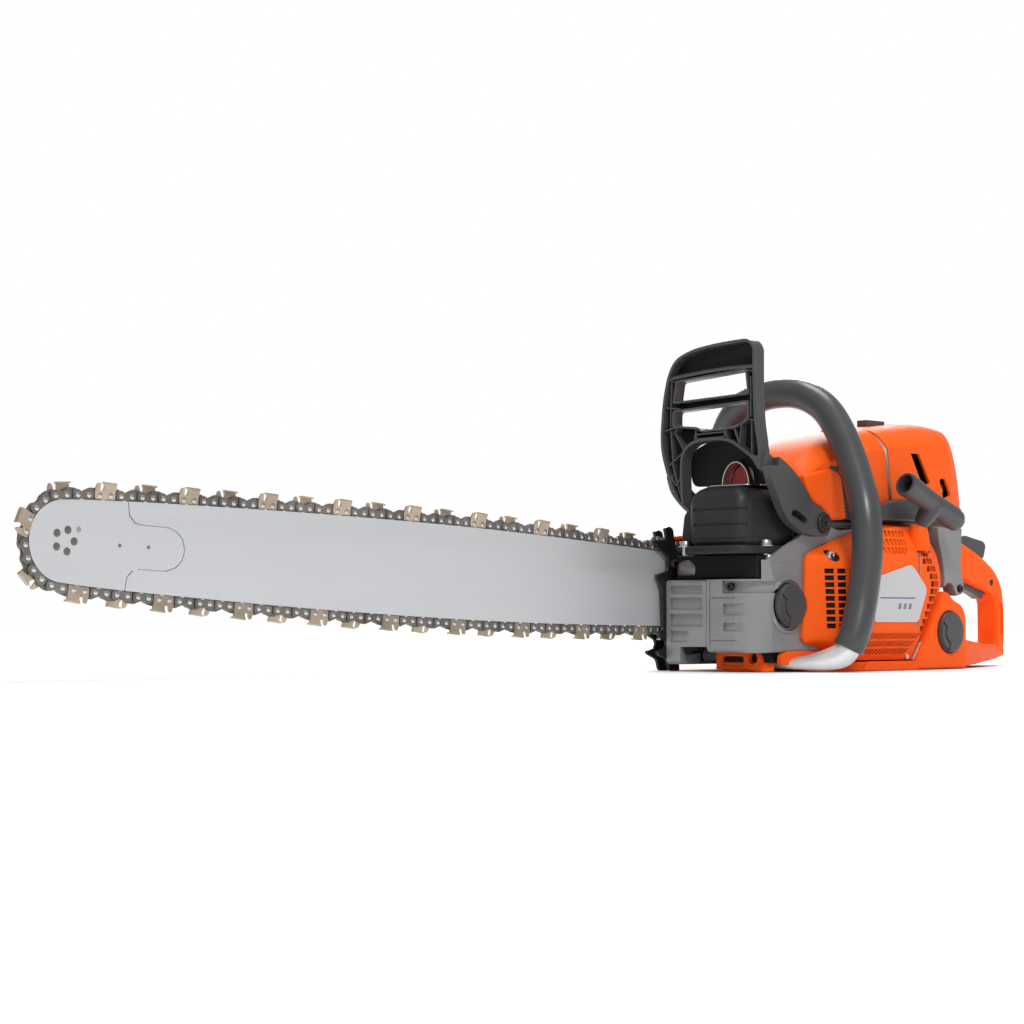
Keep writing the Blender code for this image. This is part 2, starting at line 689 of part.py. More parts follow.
def cap_tab(name, centre, y):
    outline = round_outline([(centre[0] - 15, centre[1] - 5), (centre[0] + 14.2, centre[1] - 5),
                             (centre[0] + 14.2, centre[1] + 5), (centre[0] - 15, centre[1] + 5)], [4, 1, 1, 4], 2)
    item = prism(name, outline, "Y", y - 7.6, y - 5)
    return done(item, DARK, 0.5, 0.0, (centre[0] + 13, y - 6.3, centre[1]))


def throttle_trigger():
    outline = round_outline([(232, 100), (230, 90), (252, 80), (280, 72), (292, 67), (296, 70), (294, 80), (262, 92)],
                            [4, 4, 8, 6, 2, 2, 3, 6])
    item = prism("throttle_trigger", outline, "Y", -LEVER_HALF, LEVER_HALF)
    return done(item, DARK, 0.5, 0.0, (TRIGGER_PIVOT[0], 0, TRIGGER_PIVOT[1]))


def throttle_lockout():
    outline = round_outline([(250, 112), (248, 120), (255, 130), (264, 131.5), (297, 126), (301, 122), (297, 110),
                             (292, 106), (262, 110)], [3, 3, 4, 6, 3, 2, 2, 3, 6])
    item = prism("throttle_lockout", outline, "Y", -LEVER_HALF, LEVER_HALF)
    return done(item, DARK, 0.5, 0.0, (LOCKOUT_PIVOT[0], 0, LOCKOUT_PIVOT[1]))


def stop_lever():
    x, y = STOP_PIVOT
    arm = round_outline([(x - 6, y - 5), (x - 6, y + 5), (x + 22, y + 4), (x + 32, y + 2), (x + 32, y - 2),
                         (x + 22, y - 4)], 2, 2)
    item = prism("stop_lever", arm, "Z", 125, 131)
    weld(item, hole(STOP_PIVOT, 4.5, (124, 135.4), "Z", 16))
    return done(item, RED, 0.5, 0.0, (x, y, 128))


# Handle, guard and brackets

def handle_route():
    """Centre line of the front handle, from its flat foot under the left side to the clutch side."""
    knots = [(-84, -34, 7), (-82, -52, 7), (-78, -80, 9.5), (-71, -99, 15), (-67.5, -105, 24), (-62, -108, 38),
             (-52, -108.5, 70), (-46, -109, 108), (-42, -104, 144), (-34, -88, 178), (-28, -68, 211), (-25, -45, 238),
             (-24, -18, 253), (-24, 12, 257), (-24, 40, 251), (-22, 62, 238), (-14, 82, 213), (-2, 95, 180),
             (20, 103, 140), (46, 104, 100), (63, 99, 68), (72, 90, 46), (76, 78, 33)]
    return [Vector(knot) for knot in knots]


def front_handle_tube():
    """Bare at its left foot, where it is pressed flat, and sleeved further up."""
    def sizes(t):
        round_part = min(1.0, max(0.0, (t - 0.05) / 0.12))
        return (FOOT_HALF[0] + (TUBE_R - FOOT_HALF[0]) * round_part,
                FOOT_HALF[1] + (TUBE_R - FOOT_HALF[1]) * round_part)

    return done(loft("front_handle_tube", sections(handle_route(), sizes, 10)), LIGHT, 0.35, 0.8)


def front_handle_grip():
    route = handle_route()
    item = tube("front_handle_grip", route[4:20], GRIP_R, 10, TUBE_R + 0.8)
    return done(item, DARK, 0.6)


def handle_clamp():
    item = prism("handle_clamp", round_outline([(62, 22), (62, 46), (92, 46), (92, 22)], 4, 2), "Y", 50.6, 92)
    route = handle_route()
    cut(item, loft("seat", sections(route[-4:-1] + [route[-1] + (route[-1] - route[-2])],
                                    lambda t: (TUBE_R + 1.6,) * 2, 12)))
    return done(item, MAGNESIUM, 0.45, 0.6)


def hand_guard():
    frame = round_outline([(-66, 176), (-62, 186), (-57, 216), (-52, 240), (-51, 292), (-40, 297), (36, 298),
                           (50, 284), (57, 240), (61, 178), (56, 150), (47.6, 150), (36, 182), (30, 200), (18, 207),
                           (-14, 208), (-28, 202), (-38, 192), (-51, 189), (-54, 176)],
                          [1, 6, 10, 10, 6, 6, 14, 14, 20, 10, 3, 3, 10, 6, 6, 6, 6, 5, 3, 1])
    item = prism("hand_guard", frame, "X", GUARD_X[0], GUARD_X[1])
    left = round_outline([(-129, 178), (-124, 160), (-112, 138), (-84, 128), (-58, 122), (-46, 123), (-42, 133),
                          (-46, 143), (-66, 152), (-86, 172), (-100, 186), (-117, 194)],
                         [1, 6, 8, 8, 6, 6, 5, 6, 8, 8, 8, 3])
    right = round_outline([(-129, 172), (-126, 150), (-112, 140), (-84, 133), (-58, 124), (-46, 124), (-42, 133),
                           (-46, 143), (-66, 150), (-100, 160), (-117, 180)],
                          [1, 6, 6, 6, 6, 6, 5, 6, 8, 8, 1])
    weld(item,
         prism("left_arm", left, "Y", -66, -57.8),
         prism("right_arm", right, "Y", 47.5, 54.5))
    cut(item,
        prism("window", round_outline([(-36, 244.5), (48, 241), (44, 261), (-34, 268)], 4, 2), "X", -140, -100),
        prism("window", round_outline([(-36, 225), (46, 219), (49, 235), (-36, 239)], 4, 2), "X", -140, -100),
        prism("slot", round_outline([(-98, 137), (-80, 133), (-78, 138), (-92, 144)], 2, 2), "Y", -70, -50),
        box("visor_back", (-140, -125), (-46, 48), (272, 291)),
        hole(GUARD_PIVOT, 4.6, (-70, 60), count=16))
    return done(item, DARK, 0.5, 0.0, (GUARD_PIVOT[0], 0, GUARD_PIVOT[1]))


def guard_pivot(name, head, tip):
    side = 1 if head > 0 else -1
    rings = [(8.5, head), (8.5, head - side * 2.5), (4.0, head - side * 2.5), (4.0, tip)]
    item = stack(name, GUARD_PIVOT, rings, count=18)
    return done(item, BLACK, 0.4, 0.5)


def rear_bracket():
    """Grey bracket that carries the rear left vibration mount."""
    outline = round_outline([(126, 76), (127, 86), (124, 104), (117, 124), (116, 134), (158, 134), (155, 100),
                             (157, 88), (161, 80), (158, 70), (146, 68.5), (141, 80), (134, 81)],
                            [2, 8, 10, 8, 2, 2, 20, 8, 4, 4, 4, 4, 3])
    item = prism("rear_bracket", outline, "Y", -72, -60)
    return done(item, MAGNESIUM, 0.45, 0.6)


def front_bellows():
    """Ribbed rubber vibration mount between the crankcase's front foot and the tank unit."""
    rings = []
    for rib in range(4):
        rings += [(4.4, 10.2 + rib * 4.2), (6.6, 12.3 + rib * 4.2)]
    item = stack("front_bellows", (-106, 14), rings, count=12)
    return done(item, BLACK, 0.8)


# Clutch, bar and chain

def bar_point(s, h):
    """World X and Z of a point s along the bar from the crank axis and h above its centre line."""
    cos, sin = math.cos(BAR_PITCH), math.sin(BAR_PITCH)
    return (-s * cos + h * sin, CRANK_Z + s * sin + h * cos)


def rail_height(s):
    """Half width of the bar's rail at s, smooth through the RAIL stations."""
    for (s0, h0), (s1, h1) in zip(RAIL, RAIL[1:]):
        if s <= s1:
            break
    index = [station for station, height in RAIL].index(s0)
    slopes = []
    for knot in (index, index + 1):
        before = RAIL[max(knot - 1, 0)]
        after = RAIL[min(knot + 1, len(RAIL) - 1)]
        slopes.append((after[1] - before[1]) / (after[0] - before[0]))
    span = s1 - s0
    t = (s - s0) / span
    return (h0 * (2 * t ** 3 - 3 * t ** 2 + 1) + slopes[0] * span * (t ** 3 - 2 * t ** 2 + t)
            + h1 * (3 * t ** 2 - 2 * t ** 3) + slopes[1] * span * (t ** 3 - t ** 2))


def rail_points(first, last, steps):
    stations = [first + (last - first) * index / steps for index in range(steps + 1)]
    return [(s, rail_height(s)) for s in stations]


def guide_bar():
    top = rail_points(60, INSERT_S, 16)
    tail = [(TAIL_S + 14, rail_height(TAIL_S + 14) - 2), (TAIL_S + 3, 18), (TAIL_S, 11)]
    upper = tail[::-1] + top
    tongue = [(INSERT_S - 22, 20), (INSERT_S - 44, 12)]
    side = upper + tongue
    outline = [bar_point(s, h) for s, h in side] + [bar_point(s, -h) for s, h in side[::-1]]
    item = prism("guide_bar", outline, "Y", BAR_Y - BAR_HALF, BAR_Y + BAR_HALF)
    slot = [bar_point(s, h) for s, h in ((38, -4.6), (94, -4.6), (98, 0), (94, 4.6), (38, 4.6), (34, 0))]
    cut(item,
        prism("slot", slot, "Y", 50, 60),
        hole(bar_point(66, 15), 4.5, (50, 60), count=14),
        hole(bar_point(66, -15), 4.5, (50, 60), count=14))
    return done(item, LIGHT, 0.35, 0.7)


def bar_nose():
    """Nose insert with a slot at mid thickness that holds the sprocket."""
    top = rail_points(INSERT_S + 0.5, NOSE_S, 6)
    arc = [(NOSE_S + NOSE_R * math.sin(turn), NOSE_R * math.cos(turn))
           for turn in [math.pi / 2 * index / 8 for index in range(1, 8)]]
    tongue = [(INSERT_S - 43.4, 11.5), (INSERT_S - 21.6, 19.5)]
    side = tongue + top + arc
    outline = [bar_point(s, h) for s, h in side]
    outline += [bar_point(NOSE_S + NOSE_R, 0)]
    outline += [bar_point(s, -h) for s, h in side[::-1]]
    item = prism("bar_nose", outline, "Y", BAR_Y - BAR_HALF, BAR_Y + BAR_HALF)
    cut(item, sleeve("sprocket_slot", bar_point(NOSE_S, 0), NOSE_R + 5, 9, (BAR_Y - 1.1, BAR_Y + 1.1), count=32))
    return done(item, LIGHT, 0.35, 0.7)


def toothed_ring(name, centre, outer, root, bore, teeth, span):
    """A sprocket: tooth outline outside, round bore inside."""
    ring = []
    core = []
    for index in range(teeth * 4):
        turn = 2 * math.pi * (index + 0.5) / (teeth * 4)
        radius = outer if index % 4 < 2 else root
        ring.append((centre[0] + radius * math.cos(turn), centre[1] + radius * math.sin(turn)))
        core.append((centre[0] + bore * math.cos(turn), centre[1] + bore * math.sin(turn)))
    rows = [(ring, span[0]), (ring, span[1]), (core, span[1]), (core, span[0])]
    return loft(name, [[(x, y, z) for x, z in points] for points, y in rows], closed=True)


def nose_sprocket():
    centre = bar_point(NOSE_S, 0)
    item = toothed_ring("nose_sprocket", centre, NOSE_R - 0.6, NOSE_R - 4.5, 9.5, NOSE_TEETH,
                        (BAR_Y - 0.7, BAR_Y + 0.7))
    return done(item, STEEL, 0.3, 0.9, (centre[0], BAR_Y, centre[1]))


def rim_sprocket():
    item = toothed_ring("rim_sprocket", (0, CRANK_Z), 17.6, 14.5, 10.4, DRIVE_TEETH, (50.6, 59.4))
    return done(item, STEEL, 0.3, 0.9, (0, BAR_Y, CRANK_Z))


def chain_path():
    """Stations round the bar as (s, h, outward s, outward h), evenly spread, nose top first."""
    top = rail_points(NOSE_S, 0, 90)
    back = [(-18.3 * math.sin(turn), 18.3 * math.cos(turn)) for turn in [math.pi * k / 12 for k in range(1, 12)]]
    low = [(s, -h) for s, h in top[::-1]]
    front = [(NOSE_S + NOSE_R * math.sin(turn), -NOSE_R * math.cos(turn))
             for turn in [math.pi * k / 16 for k in range(1, 16)]]
    points = [Vector(point) for point in top + back + low + front]
    count = len(points)
    lengths = [(points[(index + 1) % count] - points[index]).length for index in range(count)]
    total = sum(lengths)
    return points, lengths, total


def along_chain(points, lengths, distance):
    """Point on the rail path and its outward direction at a distance from the nose top."""
    count = len(points)
    index = 0
    while distance > lengths[index]:
        distance -= lengths[index]
        index = (index + 1) % count
    start = points[index]
    end = points[(index + 1) % count]
    before = points[index - 1]
    after = points[(index + 2) % count]
    t = distance / lengths[index]
    tangent = ((end - before) * (1 - t) + (after - start) * t).normalized()
    return start.lerp(end, t), Vector((tangent.y, -tangent.x))


def saw_chain():
    """The chain as one closed band round the bar, with a raised tooth for each cutter."""
    points, lengths, total = chain_path()
    pitch = total / CUTTERS
    straight = ((0.0, TIE_HEIGHT), (0.30, TIE_HEIGHT), (0.34, CUTTER_HEIGHT))
    curved = ((0.0, TIE_HEIGHT), (0.15, TIE_HEIGHT), (0.30, TIE_HEIGHT), (0.34, CUTTER_HEIGHT),
              (0.5, CUTTER_HEIGHT - 1), (0.66, CUTTER_HEIGHT - 2), (0.83, CUTTER_HEIGHT - 3))
    loops = []
    for cutter in range(CUTTERS):
        middle, outward = along_chain(points, lengths, (cutter + 0.5) * pitch)
        profile = straight if 70 < middle.x < NOSE_S - 30 else curved
        for part, height in profile:
            point, outward = along_chain(points, lengths, (cutter + part) * pitch)
            corners = []
            for lift, side in ((RAIL_LIFT, -1), (height, -1), (height, 1), (RAIL_LIFT, 1)):
                spot = point + outward * lift
                x, z = bar_point(spot.x, spot.y)
                corners.append((x, BAR_Y + side * CHAIN_HALF, z))
            loops.append(corners)
    return done(loft("saw_chain", loops, closed=True), TOOTH, 0.4, 0.8)


def clutch_hub():
    item = toothed_ring("clutch_hub", (0, CRANK_Z), 35.5, 31, 6.0, 3, (33.6, 45.6))
    return done(item, STEEL, 0.4, 0.8, (0, 40, CRANK_Z))


def clutch_drum():
    """Cup open to the engine, with the splined hub that carries the rim sprocket."""
    rings = [(DRUM_R, DRUM_Y[0]), (DRUM_R, DRUM_Y[1]), (9.8, DRUM_Y[1]), (9.8, 60.0), (6.2, 60.0),
             (6.2, DRUM_Y[1] - 2.6), (DRUM_R - 2.4, DRUM_Y[1] - 2.6), (DRUM_R - 2.4, DRUM_Y[0])]
    loops = [[(x, along, z) for x, z in circle((0, CRANK_Z), radius, 24)] for radius, along in rings]
    return done(loft("clutch_drum", loops, closed=True), STEEL, 0.3, 0.9, (0, 46, CRANK_Z))


def clutch_cover():
    outline = round_outline([(-119, 22), (-119, 122), (-60, 126), (0, 122), (40, 112), (62, 84), (60, 44), (36, 20),
                             (-20, 12), (-90, 14)], [4, 6, 10, 16, 16, 12, 12, 12, 10, 6])
    inner = round_outline([(-125, 25), (-125, 118), (-60, 122), (0, 118), (38, 108), (58, 82), (56, 46), (34, 24),
                           (-20, 17), (-90, 18)], [4, 6, 10, 16, 16, 12, 12, 12, 10, 6])
    item = prism("clutch_cover", outline, "Y", 59.5, 84)
    cut(item, prism("inside", inner, "Y", 50, 80.5))
    pad = round_outline([(-92, 60), (-92, 85), (-34, 85), (-34, 58)], 6)
    weld(item, prism("pad", pad, "Y", BAR_Y + BAR_HALF + GAP, 82))
    for stud in STUDS:
        cut(item, hole(bar_point(stud, 0), STUD_R + GAP, (50, 90), count=16))
    return done(item, ORANGE, 0.35)


def bar_stud(name, s):
    item = stack(name, bar_point(s, 0), [(STUD_R, 41.0), (STUD_R, 94.5)], count=14)
    return done(item, STEEL, 0.3, 0.9)


def bar_nut(name, s):
    centre = bar_point(s, 0)
    item = stack(name, centre, [(9.5, 84.5), (9.5, 86.5), (7.4, 86.5), (7.4, 93)], count=6)
    cut(item, hole(centre, STUD_R + GAP, (80, 100), count=14))
    return done(item, STEEL, 0.3, 0.9)


def spike_outline(top, bottom):
    """Bumper spike plate: three pairs of teeth that point forward."""
    return [(-119.5, bottom), (-134, bottom), (-150, bottom + 15), (-137, bottom + 18), (-146, bottom + 28),
            (-133, bottom + 31), (-131, 52), (-133, 72), (-150, 84), (-134, 88), (-133, 104), (-153, 118),
            (-136, 119), (-139, top), (-128, top - 3), (-123, 108), (-120, 84), (-120, 40)]


def spike_inner():
    item = prism("spike_inner", spike_outline(131, 0.0), "Y", 47.4, 50.4)
    cut(item, hole((-127, 20), 2.6, (40, 60), count=12), hole((-126, 9), 2.2, (40, 60), count=12))
    return done(item, BLACK, 0.4, 0.7)


def spike_outer():
    item = prism("spike_outer", spike_outline(128, 0.0), "Y", 60.0, 63.0)
    cut(item, hole((-127, 20), 2.6, (55, 70), count=12))
    return done(item, BLACK, 0.4, 0.7)


def chain_catcher():
    item = prism("chain_catcher", round_outline([(-116, 9), (-116, 17), (-66, 17), (-62, 9)], 2, 2), "Y", 47.6, 59)
    return done(item, MAGNESIUM, 0.45, 0.6)


def build():
    clear_scene()
    crankcase_left()
    crankcase_right()
    cylinder()
    piston()
    piston_pin()
    connecting_rod()
    crank_pin()
    crankshaft_left()
    crankshaft_right()
    main_bearing("main_bearing_left", -1)
    main_bearing("main_bearing_right", 1)
    flywheel()
    ignition_coil()
    spark_plug()
    decompression_valve()
    muffler()
    muffler_deflector()
    intake_boot()
    carburettor()
    air_filter()
    intake_housing()
    air_filter_cover()
    cylinder_cover()
    starter_cover()
    label_plate()
    starter_pulley()
    starter_rope()
    recoil_spring()
    starter_handle()
    tank_unit()
    cap("fuel_cap", FUEL_CAP, -78)
    cap_tab("fuel_cap_tab", FUEL_CAP, -78)
    cap("oil_cap", OIL_CAP, -57)
    cap_tab("oil_cap_tab", OIL_CAP, -57)
    throttle_trigger()
    throttle_lockout()
    stop_lever()
    front_handle_tube()
    front_handle_grip()
    handle_clamp()
    front_bellows()
    hand_guard()
    guard_pivot("guard_pivot_left", -69.5, -50)
    guard_pivot("guard_pivot_right", 57.8, 38)
    rear_bracket()
    guide_bar()
    bar_nose()
    nose_sprocket()
    rim_sprocket()
    saw_chain()
    clutch_hub()
    clutch_drum()
    clutch_cover()
    bar_stud("bar_stud_rear", STUDS[0])
    bar_stud("bar_stud_front", STUDS[1])
    bar_nut("bar_nut_rear", STUDS[0])
    bar_nut("bar_nut_front", STUDS[1])
    spike_inner()
    spike_outer()
    chain_catcher()


build()
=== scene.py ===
"""Looks for the petrol chainsaw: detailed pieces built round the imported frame, materials, light and camera.

Lengths are in millimetres unless a name says otherwise; piece() turns them into metres.
+X runs to the rear handle, -X to the bar nose, -Y is the starter side, +Z is up.
"""
import json
import math

import bmesh
import bpy
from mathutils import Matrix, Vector


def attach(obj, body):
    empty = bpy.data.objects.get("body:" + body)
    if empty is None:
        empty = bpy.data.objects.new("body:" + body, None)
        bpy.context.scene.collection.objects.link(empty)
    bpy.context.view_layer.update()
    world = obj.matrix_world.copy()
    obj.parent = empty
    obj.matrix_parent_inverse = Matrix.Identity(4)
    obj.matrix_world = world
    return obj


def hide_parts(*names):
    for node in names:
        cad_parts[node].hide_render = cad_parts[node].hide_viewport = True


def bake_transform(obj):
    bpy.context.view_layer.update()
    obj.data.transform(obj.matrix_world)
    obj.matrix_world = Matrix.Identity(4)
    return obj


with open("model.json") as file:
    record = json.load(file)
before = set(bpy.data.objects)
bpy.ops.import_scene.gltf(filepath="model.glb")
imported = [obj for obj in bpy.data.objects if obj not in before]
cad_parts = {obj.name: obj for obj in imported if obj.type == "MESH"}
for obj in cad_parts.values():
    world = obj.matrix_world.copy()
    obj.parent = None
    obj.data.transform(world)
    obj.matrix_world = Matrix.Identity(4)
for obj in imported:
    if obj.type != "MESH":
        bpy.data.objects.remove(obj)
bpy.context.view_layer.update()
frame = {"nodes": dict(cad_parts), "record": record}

MM = 0.001

# Places that several pieces share: crank axis, bar line, fasteners and covers
CRANK_Z = 68.3
BAR_Y = 55.0
BAR_HALF = 2.1
BAR_PITCH = math.radians(2.468)
NOSE_S = 790.0
NOSE_R = 30.0
RAIL = ((0.0, 18.3), (60.0, 28.0), (100.0, 31.2), (146.0, 34.0), (340.0, 38.4),
        (527.0, 37.8), (690.0, 34.2), (771.0, 31.3), (790.0, 30.0))
HALF_LINKS = 184
RIVET_LIFT = 3.5
GUARD_PIVOT = (-52.7, 133.0)
OIL_CAP = (-94.0, 59.0)
FUEL_CAP = (123.0, 34.7)
CAP_R = 19.5
STUDS = (45.0, 76.0)
VALVE = (24.0, -16.0)
ROD_SWEEP_X = 31.8
ROD_SWEEP_Z = (37.7, 101.0)
STARTER_SCREW = (-49.5, 103.6)
ROPE_MOUTH = (66.0, -86.0)
FOOT_SCREW = (-34.0, 11.5)
HANDLE_PIN = (299, 84)
BRACKET_SCREW = (151.5, 76)
CASE_FRONT = -138
COVER_ANCHOR = (150, 155)


# Modelling helpers

def piece(name, points, faces, material, smooth=35.0):
    mesh = bpy.data.meshes.new(name)
    mesh.from_pydata([Vector(point) * MM for point in points], [], faces)
    work = bmesh.new()
    work.from_mesh(mesh)
    bmesh.ops.remove_doubles(work, verts=work.verts, dist=1e-6)
    bmesh.ops.recalc_face_normals(work, faces=work.faces)
    work.to_mesh(mesh)
    work.free()
    item = bpy.data.objects.new(name, mesh)
    bpy.context.scene.collection.objects.link(item)
    mesh.materials.append(material)
    shade(item, smooth)
    return item


def shade(item, angle=35.0):
    item.data.shade_smooth()
    item.data.set_sharp_from_angle(angle=math.radians(angle))


def loft(name, loops, material, closed=False, smooth=35.0):
    count = len(loops[0])
    points = [point for loop in loops for point in loop]
    faces = []
    for span in range(len(loops) if closed else len(loops) - 1):
        first = span * count
        second = ((span + 1) % len(loops)) * count
        for side in range(count):
            after = (side + 1) % count
            faces.append((first + side, first + after, second + after, second + side))
    if not closed:
        faces.append(tuple(range(count)))
        faces.append(tuple(range(len(points) - count, len(points))))
    return piece(name, points, faces, material, smooth)


def place(axis, a, b, along):
    if axis == "X":
        return (along, a, b)
    if axis == "Y":
        return (a, along, b)
    return (a, b, along)


def prism(name, outline, axis, low, high, material=None):
    return loft(name, [[place(axis, a, b, along) for a, b in outline] for along in (low, high)], material)


def rect(a0, a1, b0, b1):
    return [(a0, b0), (a1, b0), (a1, b1), (a0, b1)]


def box(name, x, y, z, material=None):
    return prism(name, rect(*x, *y), "Z", *z, material)


def arcs(points, radius, steps=5):
    """A closed outline whose corners are rounded, with one radius or one for each corner."""
    result = []
    count = len(points)
    for index, point in enumerate(points):
        corner = Vector(point)
        size = radius[index] if isinstance(radius, (list, tuple)) else radius
        before = Vector(points[index - 1]) - corner
        after = Vector(points[(index + 1) % count]) - corner
        size = min(size, before.length * 0.49, after.length * 0.49)
        if size < 0.05:
            result.append(tuple(corner))
            continue
        start = corner + before.normalized() * size
        end = corner + after.normalized() * size
        for step in range(steps + 1):
            t = step / steps
            result.append(tuple(start * (1 - t) ** 2 + corner * (2 * t * (1 - t)) + end * t ** 2))
    return result


def offset(outline, amount):
    """Move a closed outline inwards (positive) or outwards along its corner normals."""
    area = sum(a[0] * b[1] - b[0] * a[1] for a, b in zip(outline, outline[1:] + outline[:1]))
    turn = 1.0 if area > 0 else -1.0
    result = []
    count = len(outline)
    for index in range(count):
        corner = Vector(outline[index])
        before = (corner - Vector(outline[index - 1])).normalized()
        after = (Vector(outline[(index + 1) % count]) - corner).normalized()
        normal_a = Vector((-before.y, before.x)) * turn
        normal_b = Vector((-after.y, after.x)) * turn
        middle = normal_a + normal_b
        if middle.length < 0.2:
            middle = normal_a
        middle.normalize()
        stretch = min(2.0, 1.0 / max(0.3, middle.dot(normal_a)))
        result.append(tuple(corner + middle * amount * stretch))
    return result


def crowned(name, corners, radii, axis, rows, material, steps=5, smooth=40.0):
    """One rounded outline at several positions along an axis, each (amount drawn in, position)."""
    loops = []
    for amount, along in rows:
        sizes = [max(0.3, radius - amount) for radius in radii]
        loops.append([place(axis, a, b, along) for a, b in arcs(offset(corners, amount), sizes, steps)])
    return loft(name, loops, material, smooth=smooth)


def circle(centre, radius, count=32):
    turns = [2 * math.pi * (index + 0.5) / count for index in range(count)]
    return [(centre[0] + radius * math.cos(turn), centre[1] + radius * math.sin(turn)) for turn in turns]


def arc(centre, radius, first, last, steps):
    """Points along a round arc between two angles in degrees."""
    turns = [math.radians(first + (last - first) * index / steps) for index in range(steps + 1)]
    return [(centre[0] + radius * math.cos(turn), centre[1] + radius * math.sin(turn)) for turn in turns]


def turned(name, centre, rings, axis, material, count=32, closed=False):
    loops = [[place(axis, a, b, along) for a, b in circle(centre, radius, count)] for radius, along in rings]
    return loft(name, loops, material, closed)


def curve_points(knots, steps):
    """Catmull-Rom points through the knots."""
    knots = [Vector(knot) for knot in knots]
    knots = [2 * knots[0] - knots[1]] + knots + [2 * knots[-1] - knots[-2]]
    result = []
    for index in range(1, len(knots) - 2):
        a, b, c, d = knots[index - 1:index + 3]
        for step in range(steps):
            t = step / steps
            result.append(0.5 * (2 * b + (c - a) * t + (2 * a - 5 * b + 4 * c - d) * t * t
                                 + (3 * b - a - 3 * c + d) * t * t * t))
    result.append(knots[-2])
    return result


def sections(path, sizes, count):
    """Rings square to a path; sizes gives (side, up) half sizes for a fraction of its length."""
    loops = []
    side = None
    for index, point in enumerate(path):
        before = path[max(index - 1, 0)]
        after = path[min(index + 1, len(path) - 1)]
        along = (after - before).normalized()
        if side is None:
            side = along.cross(Vector((0, 0, 1)))
            if side.length < 0.1:
                side = along.cross(Vector((1, 0, 0)))
        side = (side - along * side.dot(along)).normalized()
        up = side.cross(along).normalized()
        wide, tall = sizes(index / (len(path) - 1))
        loops.append([point + side * (wide * math.cos(turn)) + up * (tall * math.sin(turn))
                      for turn in [2 * math.pi * (step + 0.5) / count for step in range(count)]])
    return loops


def tube(name, path, radius, material, count=20):
    return loft(name, sections(path, lambda t: (radius, radius), count), material, smooth=50)


def combine(target, other, operation):
    before = target.data
    for solver in ("EXACT", "MANIFOLD"):
        target.data = before
        change = target.modifiers.new("shape", "BOOLEAN")
        change.operation = operation
        change.object = other
        change.solver = solver
        bake(target)
        if len(target.data.polygons) > 12:
            break
    bpy.data.objects.remove(other, do_unlink=True)
    return target


def bake(item):
    """Apply the modifiers by replacing the mesh with its evaluated copy."""
    graph = bpy.context.evaluated_depsgraph_get()
    mesh = bpy.data.meshes.new_from_object(item.evaluated_get(graph))
    item.modifiers.clear()
    item.data = mesh


def cut(target, *cutters):
    for cutter in cutters:
        combine(target, cutter, "DIFFERENCE")
    return target


def weld(target, *others):
    for other in others:
        combine(target, other, "UNION")
    return target


def gather(name, items):
    """Join several solids into one object."""
    work = bmesh.new()
    for item in items:
        work.from_mesh(item.data)
    mesh = bpy.data.meshes.new(name)
    work.to_mesh(mesh)
    work.free()
    for material in items[0].data.materials:
        mesh.materials.append(material)
    for item in items:
        bpy.data.objects.remove(item, do_unlink=True)
    result = bpy.data.objects.new(name, mesh)
    bpy.context.scene.collection.objects.link(result)
    shade(result)
    return result


def soften(item, width, segments=3, angle=30.0):
    """Round the edges of a finished shape."""
    change = item.modifiers.new("edges", "BEVEL")
    change.width = width * MM
    change.segments = segments
    change.limit_method = "ANGLE"
    change.angle_limit = math.radians(angle)
    change.use_clamp_overlap = True
    bake(item)
    shade(item, 45)
    even = item.modifiers.new("normals", "WEIGHTED_NORMAL")
    even.keep_sharp = True
    bake(item)
    return item


def hole(centre, radius, span, axis="Y", count=28):
    return turned("hole", centre, [(radius, span[0]), (radius, span[1])], axis, None, count)


def show(item, body, slot, *nodes):
    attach(item, body)
    if nodes:
        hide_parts(*nodes)
    return item


# Materials

def set_inputs(node, values):
    for label, value in values.items():
        node.inputs[label].default_value = value


def wire(tree, source, output, target, socket):
    tree.links.new(source.outputs[output], target.inputs[socket])


